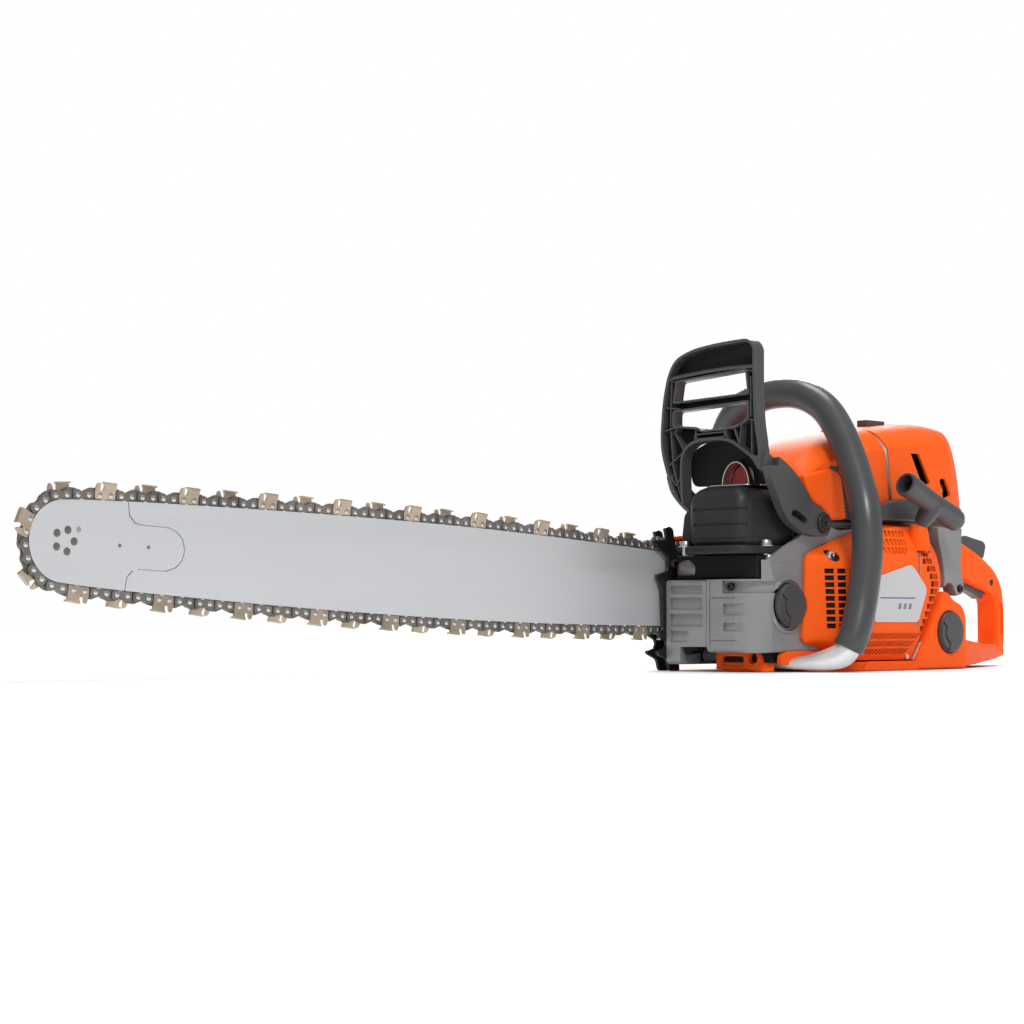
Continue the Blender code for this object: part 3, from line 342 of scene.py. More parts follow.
def material(name, colour, roughness, metallic=0.0, grain=0.0, grain_size=0.6, shift=0.06,
             rough_shift=0.08, stretch=(1, 1, 1), specular=0.5):
    """A Principled surface with colour and roughness variation and a fine bump, all in object space."""
    item = bpy.data.materials.new(name)
    item.use_nodes = True
    tree = item.node_tree
    shader = tree.nodes["Principled BSDF"]
    set_inputs(shader, {"Metallic": metallic, "Coat Weight": 0.0, "Coat Roughness": 0.08,
                        "Specular IOR Level": specular})
    spot = tree.nodes.new("ShaderNodeTexCoord")
    mapping = tree.nodes.new("ShaderNodeMapping")
    set_inputs(mapping, {"Scale": stretch})
    wire(tree, spot, "Object", mapping, "Vector")
    cloud = tree.nodes.new("ShaderNodeTexNoise")
    set_inputs(cloud, {"Scale": 28.0, "Detail": 5.0})
    wire(tree, mapping, "Vector", cloud, "Vector")
    tint = tree.nodes.new("ShaderNodeValToRGB")
    dark, light = tint.color_ramp.elements
    dark.color = (*[channel * (1 - shift) for channel in colour], 1)
    light.color = (*[min(1.0, channel * (1 + shift)) for channel in colour], 1)
    dark.position, light.position = 0.3, 0.7
    wire(tree, cloud, "Fac", tint, "Fac")
    wire(tree, tint, "Color", shader, "Base Color")
    rough = tree.nodes.new("ShaderNodeMapRange")
    set_inputs(rough, {"To Min": max(0.02, roughness - rough_shift),
                       "To Max": min(1.0, roughness + rough_shift)})
    wire(tree, cloud, "Fac", rough, "Value")
    wire(tree, rough, "Result", shader, "Roughness")
    if grain > 0:
        fine = tree.nodes.new("ShaderNodeTexNoise")
        set_inputs(fine, {"Scale": 1000.0 / grain_size, "Detail": 3.0})
        wire(tree, mapping, "Vector", fine, "Vector")
        bump = tree.nodes.new("ShaderNodeBump")
        set_inputs(bump, {"Strength": grain, "Distance": 0.0002})
        wire(tree, fine, "Fac", bump, "Height")
        wire(tree, bump, "Normal", shader, "Normal")
    return item


ORANGE = material("orange_moulding", (0.91, 0.11, 0.007), 0.5, grain=0.12, grain_size=1.2, shift=0.03,
                  specular=0.14)
MAGNESIUM = material("grey_casting", (0.25, 0.255, 0.26), 0.42, 0.3, grain=0.35, grain_size=0.7, shift=0.06)
DARK = material("dark_moulding", (0.052, 0.054, 0.057), 0.4,
    grain=0.3, grain_size=0.45, shift=0.06, specular=0.5)
SLEEVE = material("handle_sleeve", (0.052, 0.055, 0.058), 0.32, grain=0.18, grain_size=0.5, shift=0.05)
# Black plastic. The same black is also painted shade in the guard recess and visor slope, and painted shadow
# in the box under the crankcase.
BLACK = material("black_moulding_and_painted_shade", (0.010, 0.010, 0.011), 0.6,
    grain=0.25, grain_size=0.6, shift=0.15, specular=0.15)
HEAT = material("heat_black", (0.016, 0.0165, 0.017), 0.45,
    grain=0.5, grain_size=0.8, shift=0.15, specular=0.35)
SPIKE = material("black_steel", (0.010, 0.010, 0.011), 0.38, 0.2, grain=0.4, grain_size=0.9, shift=0.2)
BAR = material("bar_steel", (0.62, 0.63, 0.645), 0.34, 0.55, grain=0.12, grain_size=1.0, shift=0.02,
               stretch=(0.12, 1, 2.2))
STEEL = material("bright_steel", (0.58, 0.58, 0.59), 0.26, 1.0, grain=0.12, grain_size=0.8, shift=0.08)
CHROME = material("cutter_chrome", (0.50, 0.41, 0.31), 0.34, 0.75, grain=0.3, grain_size=1.0, shift=0.22)
TIE = material("link_steel", (0.20, 0.18, 0.165), 0.42, 0.75, grain=0.4, grain_size=1.0, shift=0.25)
CAST = material("cast_alloy", (0.42, 0.42, 0.43), 0.5, 0.8, grain=0.6, grain_size=1.0, shift=0.08)
ALLOY = material("bare_tube", (0.80, 0.80, 0.81), 0.3, 0.6, grain=0.1, grain_size=0.8, shift=0.03)
RUBBER = material("bellows_rubber", (0.09, 0.092, 0.094), 0.7, grain=0.3, grain_size=0.8)
LABEL = material("label_face", (0.52, 0.525, 0.54), 0.35, grain=0.05, grain_size=0.5, shift=0.015)
BLUE = material("blue_print", (0.02, 0.075, 0.30), 0.4, grain=0.05, shift=0.05)
RED = material("red_moulding", (0.30, 0.012, 0.01), 0.35, grain=0.1)
FELT = material("filter_felt", (0.72, 0.69, 0.60), 0.9, grain=0.8, grain_size=1.5, shift=0.1)
CERAMIC = material("plug_ceramic", (0.82, 0.82, 0.80), 0.2, shift=0.02)
PRINT = material("grey_print", (0.18, 0.19, 0.21), 0.45, grain=0.05, shift=0.05)
FLOOR = material("floor_paper", (0.93, 0.93, 0.935), 0.85,
    grain=0.02, grain_size=3.0, shift=0.003, specular=0.1)


def light_far_floor():
    """The floor paper glows brighter away from the object: painted light on the far floor."""
    tree = FLOOR.node_tree
    shader = tree.nodes["Principled BSDF"]
    spot = tree.nodes.new("ShaderNodeTexCoord")
    away = tree.nodes.new("ShaderNodeVectorMath")
    away.operation = "LENGTH"
    ramp = tree.nodes.new("ShaderNodeMapRange")
    set_inputs(ramp, {"From Min": 0.9, "From Max": 2.8, "To Max": 0.65})
    wire(tree, spot, "Object", away, 0)
    wire(tree, away, "Value", ramp, "Value")
    set_inputs(shader, {"Emission Color": (1.0, 1.0, 1.0, 1.0)})
    wire(tree, ramp, "Result", shader, "Emission Strength")


SLOT_LOOK = {
    "orange_plastic": ORANGE, "magnesium": MAGNESIUM, "dark_plastic": DARK, "black_plastic": BLACK,
    "cast_alloy": CAST, "bare_alloy": ALLOY, "steel": STEEL, "bar_steel": BAR, "chain_steel": CHROME,
    "black_steel": SPIKE, "rubber": RUBBER, "handle_rubber": SLEEVE, "label": LABEL, "red_plastic": RED,
    "filter": FELT, "ceramic": CERAMIC,
}


def dress_frame():
    """Give every kept CAD node the look of its slot."""
    slots = {entry["node"]: entry["material_slot"] for entry in frame["record"]["subparts"]}
    for name, item in frame["nodes"].items():
        item.data.materials.clear()
        item.data.materials.append(SLOT_LOOK[slots[name]])
        shade(item, 32)


# Bar and chain

def bar_point(s, h):
    """World X and Z of a point s along the bar from the crank axis and h above its centre line."""
    cos, sin = math.cos(BAR_PITCH), math.sin(BAR_PITCH)
    return (-s * cos + h * sin, CRANK_Z + s * sin + h * cos)


def rail_height(s):
    """Half width of the bar at s, smooth through the RAIL stations."""
    index = 0
    while index < len(RAIL) - 2 and s > RAIL[index + 1][0]:
        index += 1
    s0, h0 = RAIL[index]
    s1, h1 = RAIL[index + 1]
    slopes = []
    for knot in (index, index + 1):
        before = RAIL[max(knot - 1, 0)]
        after = RAIL[min(knot + 1, len(RAIL) - 1)]
        slopes.append((after[1] - before[1]) / (after[0] - before[0]))
    span = s1 - s0
    t = (s - s0) / span
    return (h0 * (2 * t ** 3 - 3 * t ** 2 + 1) + slopes[0] * span * (t ** 3 - 2 * t ** 2 + t)
            + h1 * (3 * t ** 2 - 2 * t ** 3) + slopes[1] * span * (t ** 3 - t ** 2))


def rail_points(first, last, steps):
    stations = [first + (last - first) * index / steps for index in range(steps + 1)]
    return [(s, rail_height(s)) for s in stations]


def plates(name, outline, core, material):
    """Two side plates and a smaller core plate, so the rail has its groove."""
    thick = 1.4
    near, far = BAR_Y - BAR_HALF, BAR_Y + BAR_HALF
    layers = ((outline, near, near + thick), (core, near + thick, far - thick), (outline, far - thick, far))
    return [prism(name, [bar_point(s, h) for s, h in shape], "Y", low, high, material)
            for shape, low, high in layers]


TONGUE = ((733.6, 23.0), (728.0, 17.5), (722.0, 16.6),
    (698.0, 16.6), (689.5, 13.6), (684.0, 8.6), (681.5, 0.0))


def guide_bar():
    inset = 7.0
    seam = [(735.0, rail_height(735))] + list(TONGUE)
    upper = [(24.0, 11.0), (27.0, 18.0), (38.0, 22.0)] + rail_points(60, 728, 50)
    side = upper + seam
    full = side + [(s, -h) for s, h in side[-2::-1]]
    inner_side = [(34.0, 8.0)] + [(s, h - inset) for s, h in rail_points(60, 728, 30)]
    inner = inner_side + [(722.0, 16.0), (700.0, 16.0), (684.0, 0.0), (700.0, -16.0), (722.0, -16.0)]
    inner += [(s, -h) for s, h in inner_side[::-1]]
    layers = plates("bar_plate", full, inner, BAR)
    slot = [bar_point(s, h) for s, h in arcs([(34, -4.6), (98, -4.6), (98, 4.6), (34, 4.6)], 4.5)]
    for layer in layers:
        cut(layer, prism("slot", slot, "Y", 50, 60), hole(bar_point(66, 15), 4.5, (50, 60)),
            hole(bar_point(66, -15), 4.5, (50, 60)))
    show(soften(gather("bar_plates", layers), 0.35, 2), "bar", "bar_steel", "guide_bar")


def nose_insert():
    gap = 0.55
    seam = [(735.0 + gap, rail_height(735))] + [(s + gap, h - gap) for s, h in TONGUE[:3]]
    seam += [(s + gap, h - gap) for s, h in TONGUE[3:-1]] + [(TONGUE[-1][0] + gap, 0.0)]
    arc = [(NOSE_S + NOSE_R * math.sin(turn), NOSE_R * math.cos(turn))
           for turn in [math.pi / 2 * index / 16 for index in range(1, 16)]]
    side = seam[::-1][1:] + rail_points(745, NOSE_S, 8) + arc
    full = [seam[-1]] + side + [(NOSE_S + NOSE_R, 0)] + [(s, -h) for s, h in side[::-1]]
    core = [(700, 15), (722, 15), (738, 20), (748, 24), (752, 12),
            (752, -12), (748, -24), (738, -20), (722, -15), (700, -15)]
    layers = plates("nose_plate", full, core, BAR)
    small = prism("vent", circle((-776.9, 111.0), 2.2, 16), "Y", 50, 54.5)
    cut(layers[0], small)
    show(soften(gather("nose_plates", layers), 0.35, 2), "bar", "bar_steel", "bar_nose")


def nose_rivets():
    big = ((-795.8, 108.0), (-786.4, 110.4), (-781.1, 102.2), (-787.1, 94.9), (-796.1, 98.3))
    tiny = ((-740.9, 100.2), (-714.9, 99.4))
    face = BAR_Y - BAR_HALF
    items = [turned("rivet", spot, [(3.0, face + 0.6), (3.0, face - 0.1), (2.3, face - 0.3),
            (1.4, face - 0.3), (1.1, face - 0.05)], "Y", TIE, 24) for spot in big]
    items += [turned("rivet", spot, [(1.5, face + 0.6), (1.5, face - 0.1), (1.0, face - 0.25)], "Y", TIE, 16)
              for spot in tiny]
    far = BAR_Y + BAR_HALF
    items += [turned("rivet", spot, [(3.0, far - 0.6), (3.0, far + 0.1), (2.3, far + 0.3)], "Y", TIE, 24)
              for spot in big]
    show(gather("nose_rivets", items), "bar", "bar_steel")


def chain_frames():
    """Rivet spots round the bar, from the nose top back along the top rail, as (s, h) vectors."""
    top = [(s, h + RIVET_LIFT) for s, h in rail_points(NOSE_S, 0, 120)]
    tail_r = RAIL[0][1] + RIVET_LIFT
    nose_r = NOSE_R + RIVET_LIFT
    back = [(-tail_r * math.sin(turn), tail_r * math.cos(turn))
            for turn in [math.pi * k / 24 for k in range(1, 24)]]
    low = [(s, -h) for s, h in top[::-1]]
    front = [(NOSE_S + nose_r * math.sin(turn), -nose_r * math.cos(turn))
             for turn in [math.pi * k / 36 for k in range(1, 36)]]
    path = [Vector(point) for point in top + back + low + front]
    lengths = [(path[(index + 1) % len(path)] - path[index]).length for index in range(len(path))]
    pitch = sum(lengths) / HALF_LINKS
    spots = []
    index = 0
    start = 0.0
    for rivet in range(HALF_LINKS):
        distance = rivet * pitch
        while distance > start + lengths[index]:
            start += lengths[index]
            index += 1
        spots.append(path[index].lerp(path[(index + 1) % len(path)], (distance - start) / lengths[index]))
    return spots


def add_prism(points, faces, link, outline, low, high):
    """Append one plate of a link; low and high are its faces across the chain, as functions of height."""
    centre, ahead, out = link
    first = len(points)
    count = len(outline)
    for side in (low, high):
        for t, lift in outline:
            spot = centre + ahead * t + out * lift
            x, z = bar_point(spot.x, spot.y)
            points.append((x, BAR_Y + side(lift), z))
    faces.append(tuple(range(first, first + count)))
    faces.append(tuple(range(first + count, first + 2 * count)))
    for index in range(count):
        after = (index + 1) % count
        faces.append((first + index, first + after, first + count + after, first + count + index))


TIE_SHAPE = arcs([(-9.0, -2.9), (-9.0, 3.4), (-4.6, 4.4), (-1.4, 2.4), (1.4, 2.4), (4.6, 4.4), (9.0, 3.4),
                  (9.0, -2.9)], [2.6, 2.6, 3, 1.5, 1.5, 3, 2.6, 2.6], 3)
DRIVE_SHAPE = arcs([(-9.0, -2.4), (-9.0, 2.4), (-3.0, 5.2), (3.0, 5.6), (9.0, 2.4), (9.0, -2.4), (4.0, -5.2),
                    (-3.0, -6.8)], [2, 2, 2, 2, 2, 2, 2, 1.2], 2)
CUTTER_SHAPE = [(-8.9, -2.9), (-9.2, 1.5), (-9.6, 4.5), (-10.0, 8.4), (-9.4, 9.0),
    (0.6, 9.7), (1.5, 9.3), (0.7, 6.6), (1.2, 4.2), (2.6, 2.9), (3.8, 3.4), (4.3, 5.2),
    (4.5, 8.2), (5.3, 9.0), (6.6, 8.9), (7.9, 6.6), (8.9, 3.0), (9.0, -1.4), (8.0, -2.9)]
PLATE_SHAPE = [(-10.0, 7.7), (0.4, 8.6), (1.6, 9.75), (-9.9, 9.05)]


def saw_chain():
    """Drive links in the middle, straps on both sides, cutters left and right in turn."""
    spots = chain_frames()
    count = len(spots)
    shift = 3  # half links between the nose top and the first cutter
    cutters, straps, drives = ([], []), ([], []), ([], [])

    def link_at(index):
        """Middle of one link with its forward and outward directions."""
        ahead_spot = spots[index % count]
        rear_spot = spots[(index + 1) % count]
        ahead = (ahead_spot - rear_spot).normalized()
        middle = (ahead_spot + rear_spot) / 2
        outward = Vector((-ahead.y, ahead.x))
        if (middle - Vector((NOSE_S / 2, 0))).dot(outward) < 0:
            outward = -outward
        return middle, ahead, outward

    def flare(lift):
        return 1.1 * min(1.0, max(0.0, (lift - 4.0) / 4.0))

    for strap in range(count // 2):
        link = link_at(strap * 2 + shift)
        for side in (-1, 1):
            cutter = (strap % 4 == 0 and side < 0) or (strap % 4 == 2 and side > 0)
            target = cutters if cutter else straps
            shape = CUTTER_SHAPE if cutter else TIE_SHAPE
            lean = flare if cutter else (lambda lift: 0.0)
            add_prism(*target, link, shape, lambda lift: side * (0.85 + lean(lift)),
                      lambda lift: side * (2.45 + lean(lift)))
            if cutter:
                add_prism(*cutters, link, PLATE_SHAPE, lambda lift: side * -0.9, lambda lift: side * 3.6)
        add_prism(*drives, link_at(strap * 2 + shift + 1), DRIVE_SHAPE, lambda lift: -0.62,
                  lambda lift: 0.62)
    rings = [(radius, BAR_Y + out) for radius, out in ((1.3, -3.4), (2.1, -3.0),
            (2.3, -2.4), (2.3, 2.4), (2.1, 3.0), (1.3, 3.4))]
    rivets = [turned("rivet", bar_point(spot.x, spot.y), rings, "Y", STEEL, 10) for spot in spots]
    show(piece("chain_cutters", *cutters, CHROME, 28), "root", "chain_steel", "saw_chain")
    show(piece("chain_straps", *straps, TIE, 28), "root", "chain_steel")
    show(piece("chain_drive_links", *drives, TIE, 28), "root", "chain_steel")
    show(gather("chain_rivets", rivets), "root", "chain_steel")


# Front hand guard, spikes and muffler

GUARD_EDGE = [(-54, 178), (-56, 187), (-53.5, 205), (-50.5, 222), (-49, 262), (-49.4, 288), (-42, 296),
    (-5, 294.5), (24.6, 290.5), (44, 283), (52.5, 269), (58.2, 246), (61, 216), (60.4, 200), (54.7, 181),
    (47.8, 163), (40.2, 151.4), (33, 148), (34.6, 158), (35.4, 178), (35, 191.5), (32, 199), (23.4, 205),
    (9.9, 207), (-10.8, 206.8), (-22.5, 203.6), (-33, 197), (-45, 189), (-51, 180)]
GUARD_ROUND = [2, 6, 12, 14, 14, 5, 8, 20, 20, 14, 14, 20,
    14, 12, 12, 8, 4, 3, 6, 8, 8, 6, 8, 8, 8, 8, 6, 5, 2]
WINDOW_TOP = [(42, 262.0), (45, 244.5), (-39.6, 247.6), (-37.4, 267.6)]
WINDOW_LOW = [(45.5, 235.0), (46, 222.8), (17.3, 220.0), (13.6, 217.0), (-9.4, 217.4), (-25.5, 218.6),
              (-39.3, 224.3), (-39.4, 239.0)]
WINDOWS = ((WINDOW_TOP, 3), (WINDOW_LOW, [3, 3, 3, 2, 2, 4, 3, 3]))
ARCH_SLOT = [(19.5, 209.8), (-13, 210.6), (-13, 213.4), (19.5, 212.8)]


def ring_prism(name, corners, radii, width, low, high, material):
    """A thin wall round a rounded outline, on its outer side."""
    item = prism(name, arcs(offset(corners, -width), radii), "X", low, high, material)
    return cut(item, prism("core", arcs(corners, radii), "X", low - 1, high + 1))


def window_cutters(grow=0.0):
    return [prism("window", arcs(offset(corners, -grow) if grow else corners, radii), "X", -140, -100)
            for corners, radii in WINDOWS]


def guard_wall():
    wall = prism("guard_rim", arcs(GUARD_EDGE, GUARD_ROUND, 4), "X", -129.5, -116, DARK)
    core = offset(GUARD_EDGE[1:-1], 2.7)
    cut(wall, prism("core", arcs(core, [max(0.3, size - 2)
            for size in GUARD_ROUND[1:-1]], 4), "X", -131, -118.5))
    cut(wall, *window_cutters(), prism("window", arcs(ARCH_SLOT, 1), "X", -140, -122))
    return soften(wall, 0.7, 2)


def guard_bar(ends, width=1.4):
    """A straight rib across the guard's recess."""
    a, b = Vector(ends[0]), Vector(ends[1])
    side = (b - a).normalized()
    normal = Vector((-side.y, side.x)) * width / 2
    return prism("rib", [tuple(a + normal), tuple(b + normal),
            tuple(b - normal), tuple(a - normal)], "X", -128, -117, DARK)


def guard_ribs():
    items = [ring_prism("frame", corners, radii, 1.9, -128.6, -117, DARK) for corners, radii in WINDOWS]
    items.append(ring_prism("frame", ARCH_SLOT, 1, 1.4, -128.2, -117, DARK))
    lines = [((-42, 224), (-49, 222)), ((41, 222), (59, 218)), ((40, 262), (54, 264)),
            ((-38, 268), (-48, 266)), ((42, 220), (46, 216)), ((45, 216), (34, 199)), ((34, 199), (56, 184)),
            ((50, 218), (47, 183)), ((47, 183), (40, 163)), ((40, 163), (35, 152)), ((55, 184), (44, 168)),
            ((44, 168), (36, 178)), ((50, 236), (50, 221)), ((49, 262), (50, 236)), ((-33, 222), (-30, 202)),
            ((-44, 224), (-44, 192)), ((-43, 262), (-43, 226)), ((20, 218), (22, 207)),
            ((-14, 216), (-16, 207)), ((40, 238), (58, 240)), ((-30, 202), (-24, 217))]
    items += [guard_bar(ends) for ends in lines]
    show(soften(gather("guard_ribs", items), 0.3, 1), "guard", "dark_plastic")


def guard_recess_shade():
    """Floor of the recess between the ribs, just in front of the back plate, painted black as the shade in
    the recess.
    """
    edge = arcs(offset(GUARD_EDGE[1:-1], 2.0), [max(0.3, size - 2) for size in GUARD_ROUND[1:-1]], 4)
    # Black sheet as painted shade: the guard's own plastic is the dark grey of its ribs.
    floor = prism("guard_recess_shade", edge, "X", -119.4, -118.2, BLACK)
    cut(floor, *window_cutters(1.0))
    show(floor, "guard", "dark_plastic")


def guard_visor():
    """Hollowed top of the guard: a slope painted black as shade, above a lighter lower lip in the guard's own
    dark grey.
    """
    stations = ((-46.5, 291, 269), (-20, 291, 269.2), (8, 290, 268), (30, 285, 266.2), (44, 277, 264.8),
                (50, 268, 263.4))
    # The slope is the guard's plastic painted black as shade in the hollow.
    loops = [[(-118.6, y, top), (-119.5, y, low + 9), (-121.5, y, low + 5), (-127.5, y, low + 3.0),
              (-117.5, y, low + 2.0), (-117.0, y, top)] for y, top, low in stations]
    show(loft("guard_visor", loops, BLACK), "guard", "dark_plastic")
    lips = [[(-127.4, y, low + 3.6), (-128.8, y, low + 2.4), (-128.8, y, low), (-117.5, y, low),
             (-117.5, y, low + 1.6)] for y, top, low in stations]
    show(loft("guard_lip", lips, DARK), "guard", "dark_plastic")


def guard_arms():
    left = arcs([(-129.4, 182), (-128, 172), (-116, 150), (-104, 133), (-84, 124), (-58, 120.5), (-45, 122),
            (-42, 131), (-45, 141), (-54, 145), (-67, 150), (-80, 165), (-94, 178), (-110, 187),
            (-117, 190), (-117, 182)], [1, 8, 12, 10, 8, 6, 8, 7, 8, 6, 10, 10, 10, 10, 1, 1], 5)
    arm = prism("guard_arm_left", left, "Y", -66, -57.6, DARK)
    slot = arcs([(-100, 139), (-80, 131.5), (-77, 134), (-77.5, 137), (-93, 144), (-99, 143)], 2, 4)
    cut(arm, prism("slot", slot, "Y", -70, -50))
    soften(arm, 1.3, 3)
    sheet = prism("blend", arcs([(-129.4, 178), (-118, 172),
            (-117, 190), (-127, 194)], 3), "Y", -60, -53, DARK)
    soften(sheet, 2.2, 3)
    right = arcs([(-129.4, 176), (-124, 162), (-110, 150), (-84, 136), (-58, 124), (-46, 124), (-42, 133),
            (-46, 143), (-66, 150), (-100, 164), (-117, 186)], [1, 6, 8, 8, 6, 6, 5, 6, 8, 8, 1], 4)
    other = soften(prism("guard_arm_right", right, "Y", 47.7, 54.3, DARK), 1.0, 2)
    lip = prism("slot_lip", offset(slot, -1.2), "Y", -66.5, -64.8, DARK)
    cut(lip, prism("slot", slot, "Y", -70, -50))
    show(soften(lip, 0.3, 1), "guard", "dark_plastic")
    return [arm, sheet, other]


def hand_guard():
    arms = guard_arms()
    wall = guard_wall()
    show(wall, "guard", "dark_plastic", "hand_guard")
    for part in arms:
        show(part, "guard", "dark_plastic")
    guard_ribs()
    guard_recess_shade()
    guard_visor()


def pivot_bolt(name, head, tip, node):
    """Flanged hex-socket bolt."""
    side = 1 if head > 0 else -1
    rings = [(4.0, tip), (4.0, head - side * 4.6), (9.2, head - side * 4.6), (9.2, head - side * 1.6),
            (8.4, head - side * 0.8), (6.6, head - side * 0.6), (6.3, head - side * 1.3),
            (5.9, head - side * 1.3), (5.6, head - side * 0.3), (5.0, head), (3.4, head)]
    item = turned(name, GUARD_PIVOT, rings, "Y", HEAT, 40)
    cut(item, hole(GUARD_PIVOT, 2.9, (head - side * 4, head + side * 2), "Y", 6))
    show(item, "root", "black_steel", node)


def socket_screw(name, centre, axis, face, out, radius, body, material=STEEL, washer=0.0):
    """Cap screw whose head stands on a face and points along the axis, out being +1 or -1."""
    rings = [(radius * 0.5, face - out * radius * 1.4), (radius * 0.5, face), (radius, face),
             (radius, face + out * radius * 0.75), (radius * 0.86, face + out * radius * 0.95),
             (radius * 0.6, face + out * radius * 0.95)]
    item = turned(name, centre, rings, axis, material, 28)
    low = face + out * radius * 0.25
    high = face + out * radius * 2
    cut(item, turned("socket", centre, [(radius * 0.52, low), (radius * 0.52, high)], axis, None, 6))
    if washer > 0:
        ring = [(washer, face - out * 0.3), (washer, face + out * 0.7)]
        item = gather(name, [item, turned("washer", centre, ring, axis, material, 28)])
    show(item, body, "steel")


MUFFLER_PLAN = [(-147, -48), (-64, -48), (-64, 17), (-147, 17)]


def muffler():
    """Pressed black box with three grooves across its rounded front."""
    radii = [15, 15, 15, 15]
    flange = [(-4.2, 104.5), (-5.2, 106), (-5.2, 110), (-4.2, 111.5), (3, 112.6), (1.4, 114.6),
            (0, 120), (0, 149), (0.9, 154), (3.2, 158.5), (7.5, 162), (13, 164.4), (17, 165.2)]
    shell = crowned("muffler_shell", MUFFLER_PLAN, radii, "Z", flange, HEAT, 7)
    for z in (117.5, 130.5, 144.0):
        groove = crowned("groove", MUFFLER_PLAN, radii, "Z", [(-6, z - 1.1), (-6, z + 1.1)], None, 7)
        cut(groove, crowned("core", MUFFLER_PLAN, radii, "Z", [(1.3, z - 2), (1.3, z + 2)], None, 7),
            box("rear", (-138, -50), (-60, 40), (z - 3, z + 3)),
            box("far_end", (-160, -50), (8, 40), (z - 3, z + 3)))
        cut(shell, groove)
    cut(shell, box("chamber", (-134, -70), (-38, 13), (116, 154)))
    soften(shell, 0.5, 2)
    show(shell, "root", "black_steel", "muffler")
    plate = prism("muffler_edge_plate", arcs([(-129, -40), (-80, -40),
            (-80, 6), (-129, 6)], 6), "Z", 165.4, 166.6, STEEL)
    show(soften(plate, 0.4, 2), "root", "steel")
    show(soften(box("exhaust_neck", (-70, -43), (-16, 16), (118, 136), HEAT), 1, 2), "root", "black_steel")
    back = prism("heat_shield", arcs([(18, 106), (18, 146), (27, 142),
            (30, 120), (30, 106)], 5), "X", -136, -100, HEAT)
    show(soften(back, 2, 3), "root", "black_steel")
    baffle = box("muffler_baffle", (-128, -64), (-50, 44), (82.6, 104), BLACK)
    show(soften(baffle, 1.5, 2), "root", "black_steel")
    lump = crowned("baffle_lump", [(21, 86), (20, 95), (28, 101), (40, 98), (42, 86)], [3, 4, 4, 4, 3], "X",
                   [(2.5, -131), (0, -129), (0, -126)], TIE)
    show(lump, "root", "black_steel")
    behind = prism("arch_panel", arcs([(-50, 167), (-50, 204), (-20, 209),
            (14, 209), (37, 200), (40, 180), (36, 167)], 8), "X", -112, -110, BLACK)
    cut(behind, prism("outlet", arcs([(-34, 160), (-34, 180),
            (-17.5, 189), (-1, 180), (-1, 160)], 7), "X", -120, -100))
    show(behind, "root", "black_steel")
    socket_screw("muffler_bolt_left", (-140.0, 23.0), "Z", 111.5, 1, 5.4, "root", STEEL, 6.8)
    socket_screw("muffler_bolt_right", (-115.0, -49.0), "Z", 111.5, 1, 5.8, "root", STEEL, 7.2)
    socket_screw("muffler_bolt_low", (-113.0, -50.5), "Z", 99.5, 1, 4.6, "root", STEEL)


def muffler_deflector():
    """Bent bright outlet cowl, open to the front, with a dark red mouth."""
    loops = []
    for x, radius, rise in ((-118.0, 15.6, 21.0), (-112, 15.8, 21.2), (-100, 14.6, 19.5), (-88, 10.0, 13.0)):
        ring = []
        for drawn, order in ((0.0, range(25)), (1.1, range(24, -1, -1))):
            for index in order:
                turn = math.pi * index / 24
                ring.append((x, -17.5 + (radius - drawn) * math.cos(turn),
                        166.8 + (rise - drawn) * math.sin(turn)))
        loops.append(ring)
    show(loft("deflector_cowl", loops, STEEL), "root", "steel", "muffler_deflector")
    throat = [(-17.5 + 13.4 * math.cos(turn), 167.2 + 18.0 * math.sin(turn))
              for turn in [math.pi * index / 24 for index in range(25)]]
    show(prism("deflector_throat", throat, "X", -106, -101, RED), "root", "steel")


def spikes():
    def teeth(top):
        return arcs([(-119.5, 0), (-133, 0), (-136, 10), (-149, 15), (-150, 18), (-138, 21),
                (-137, 27), (-146, 31), (-147, 34), (-141, 38), (-142, 54), (-143, 76), (-149, 83),
                (-151, 86.5), (-135, 90), (-134, 103), (-152, 114), (-153, 118), (-136, 119),
                (-139, top - 2), (-133, top), (-128, top - 2), (-123, 108), (-120, 84), (-120, 20)],
                [2, 3, 3, 2, 1, 3, 3, 2, 1, 4, 6, 6, 2, 1, 4, 4, 2, 1, 3, 2, 2, 2, 4, 6, 6], 3)

    inner = prism("spike_plate_inner", teeth(131), "Y", 47.4, 50.4, SPIKE)
    cut(inner, hole((-127, 20), 2.8, (40, 60)), hole((-126.5, 9), 2.2, (40, 60)))
    show(soften(inner, 0.6, 2), "root", "black_steel", "spike_inner")
    outer = prism("spike_plate_outer", teeth(128), "Y", 60.0, 63.0, SPIKE)
    show(soften(outer, 0.6, 2), "root", "black_steel", "spike_outer")
    socket_screw("spike_bolt_top", (-128.0, 97.0), "Y", 47.4, -1, 4.0, "root", SPIKE)
    socket_screw("spike_bolt_low", (-126.5, 30.0), "Y", 47.4, -1, 3.4, "root", SPIKE)


# Crankcase

def panel(corners, depth):
    """A shallow rounded pocket cut from the front of the crankcase."""
    return prism("panel", arcs(corners, 2.0, 3), "X", CASE_FRONT - 6, CASE_FRONT + depth)


def tube_groove():
    """Cutter that leaves room for the flattened front end of the handle tube."""
    return box("tube_groove", (-101, -60), (-90, -28), (-1, 12.6))


def crank_room(side):
    """Cutters for the webs, rod, shaft and cylinder in one crankcase half: side is -1 left, +1 right."""
    def span(near, far):
        return sorted((side * near, side * far))

    return [hole((0, CRANK_Z), 31, span(-1, 17.5), count=40),
            box("rod_sweep", (-ROD_SWEEP_X, ROD_SWEEP_X), span(-1, 6.2), ROD_SWEEP_Z),
            hole((0, CRANK_Z), 9.5, span(16, 60)),
            hole((0, 0), 26.5, (80, 120), "Z")]


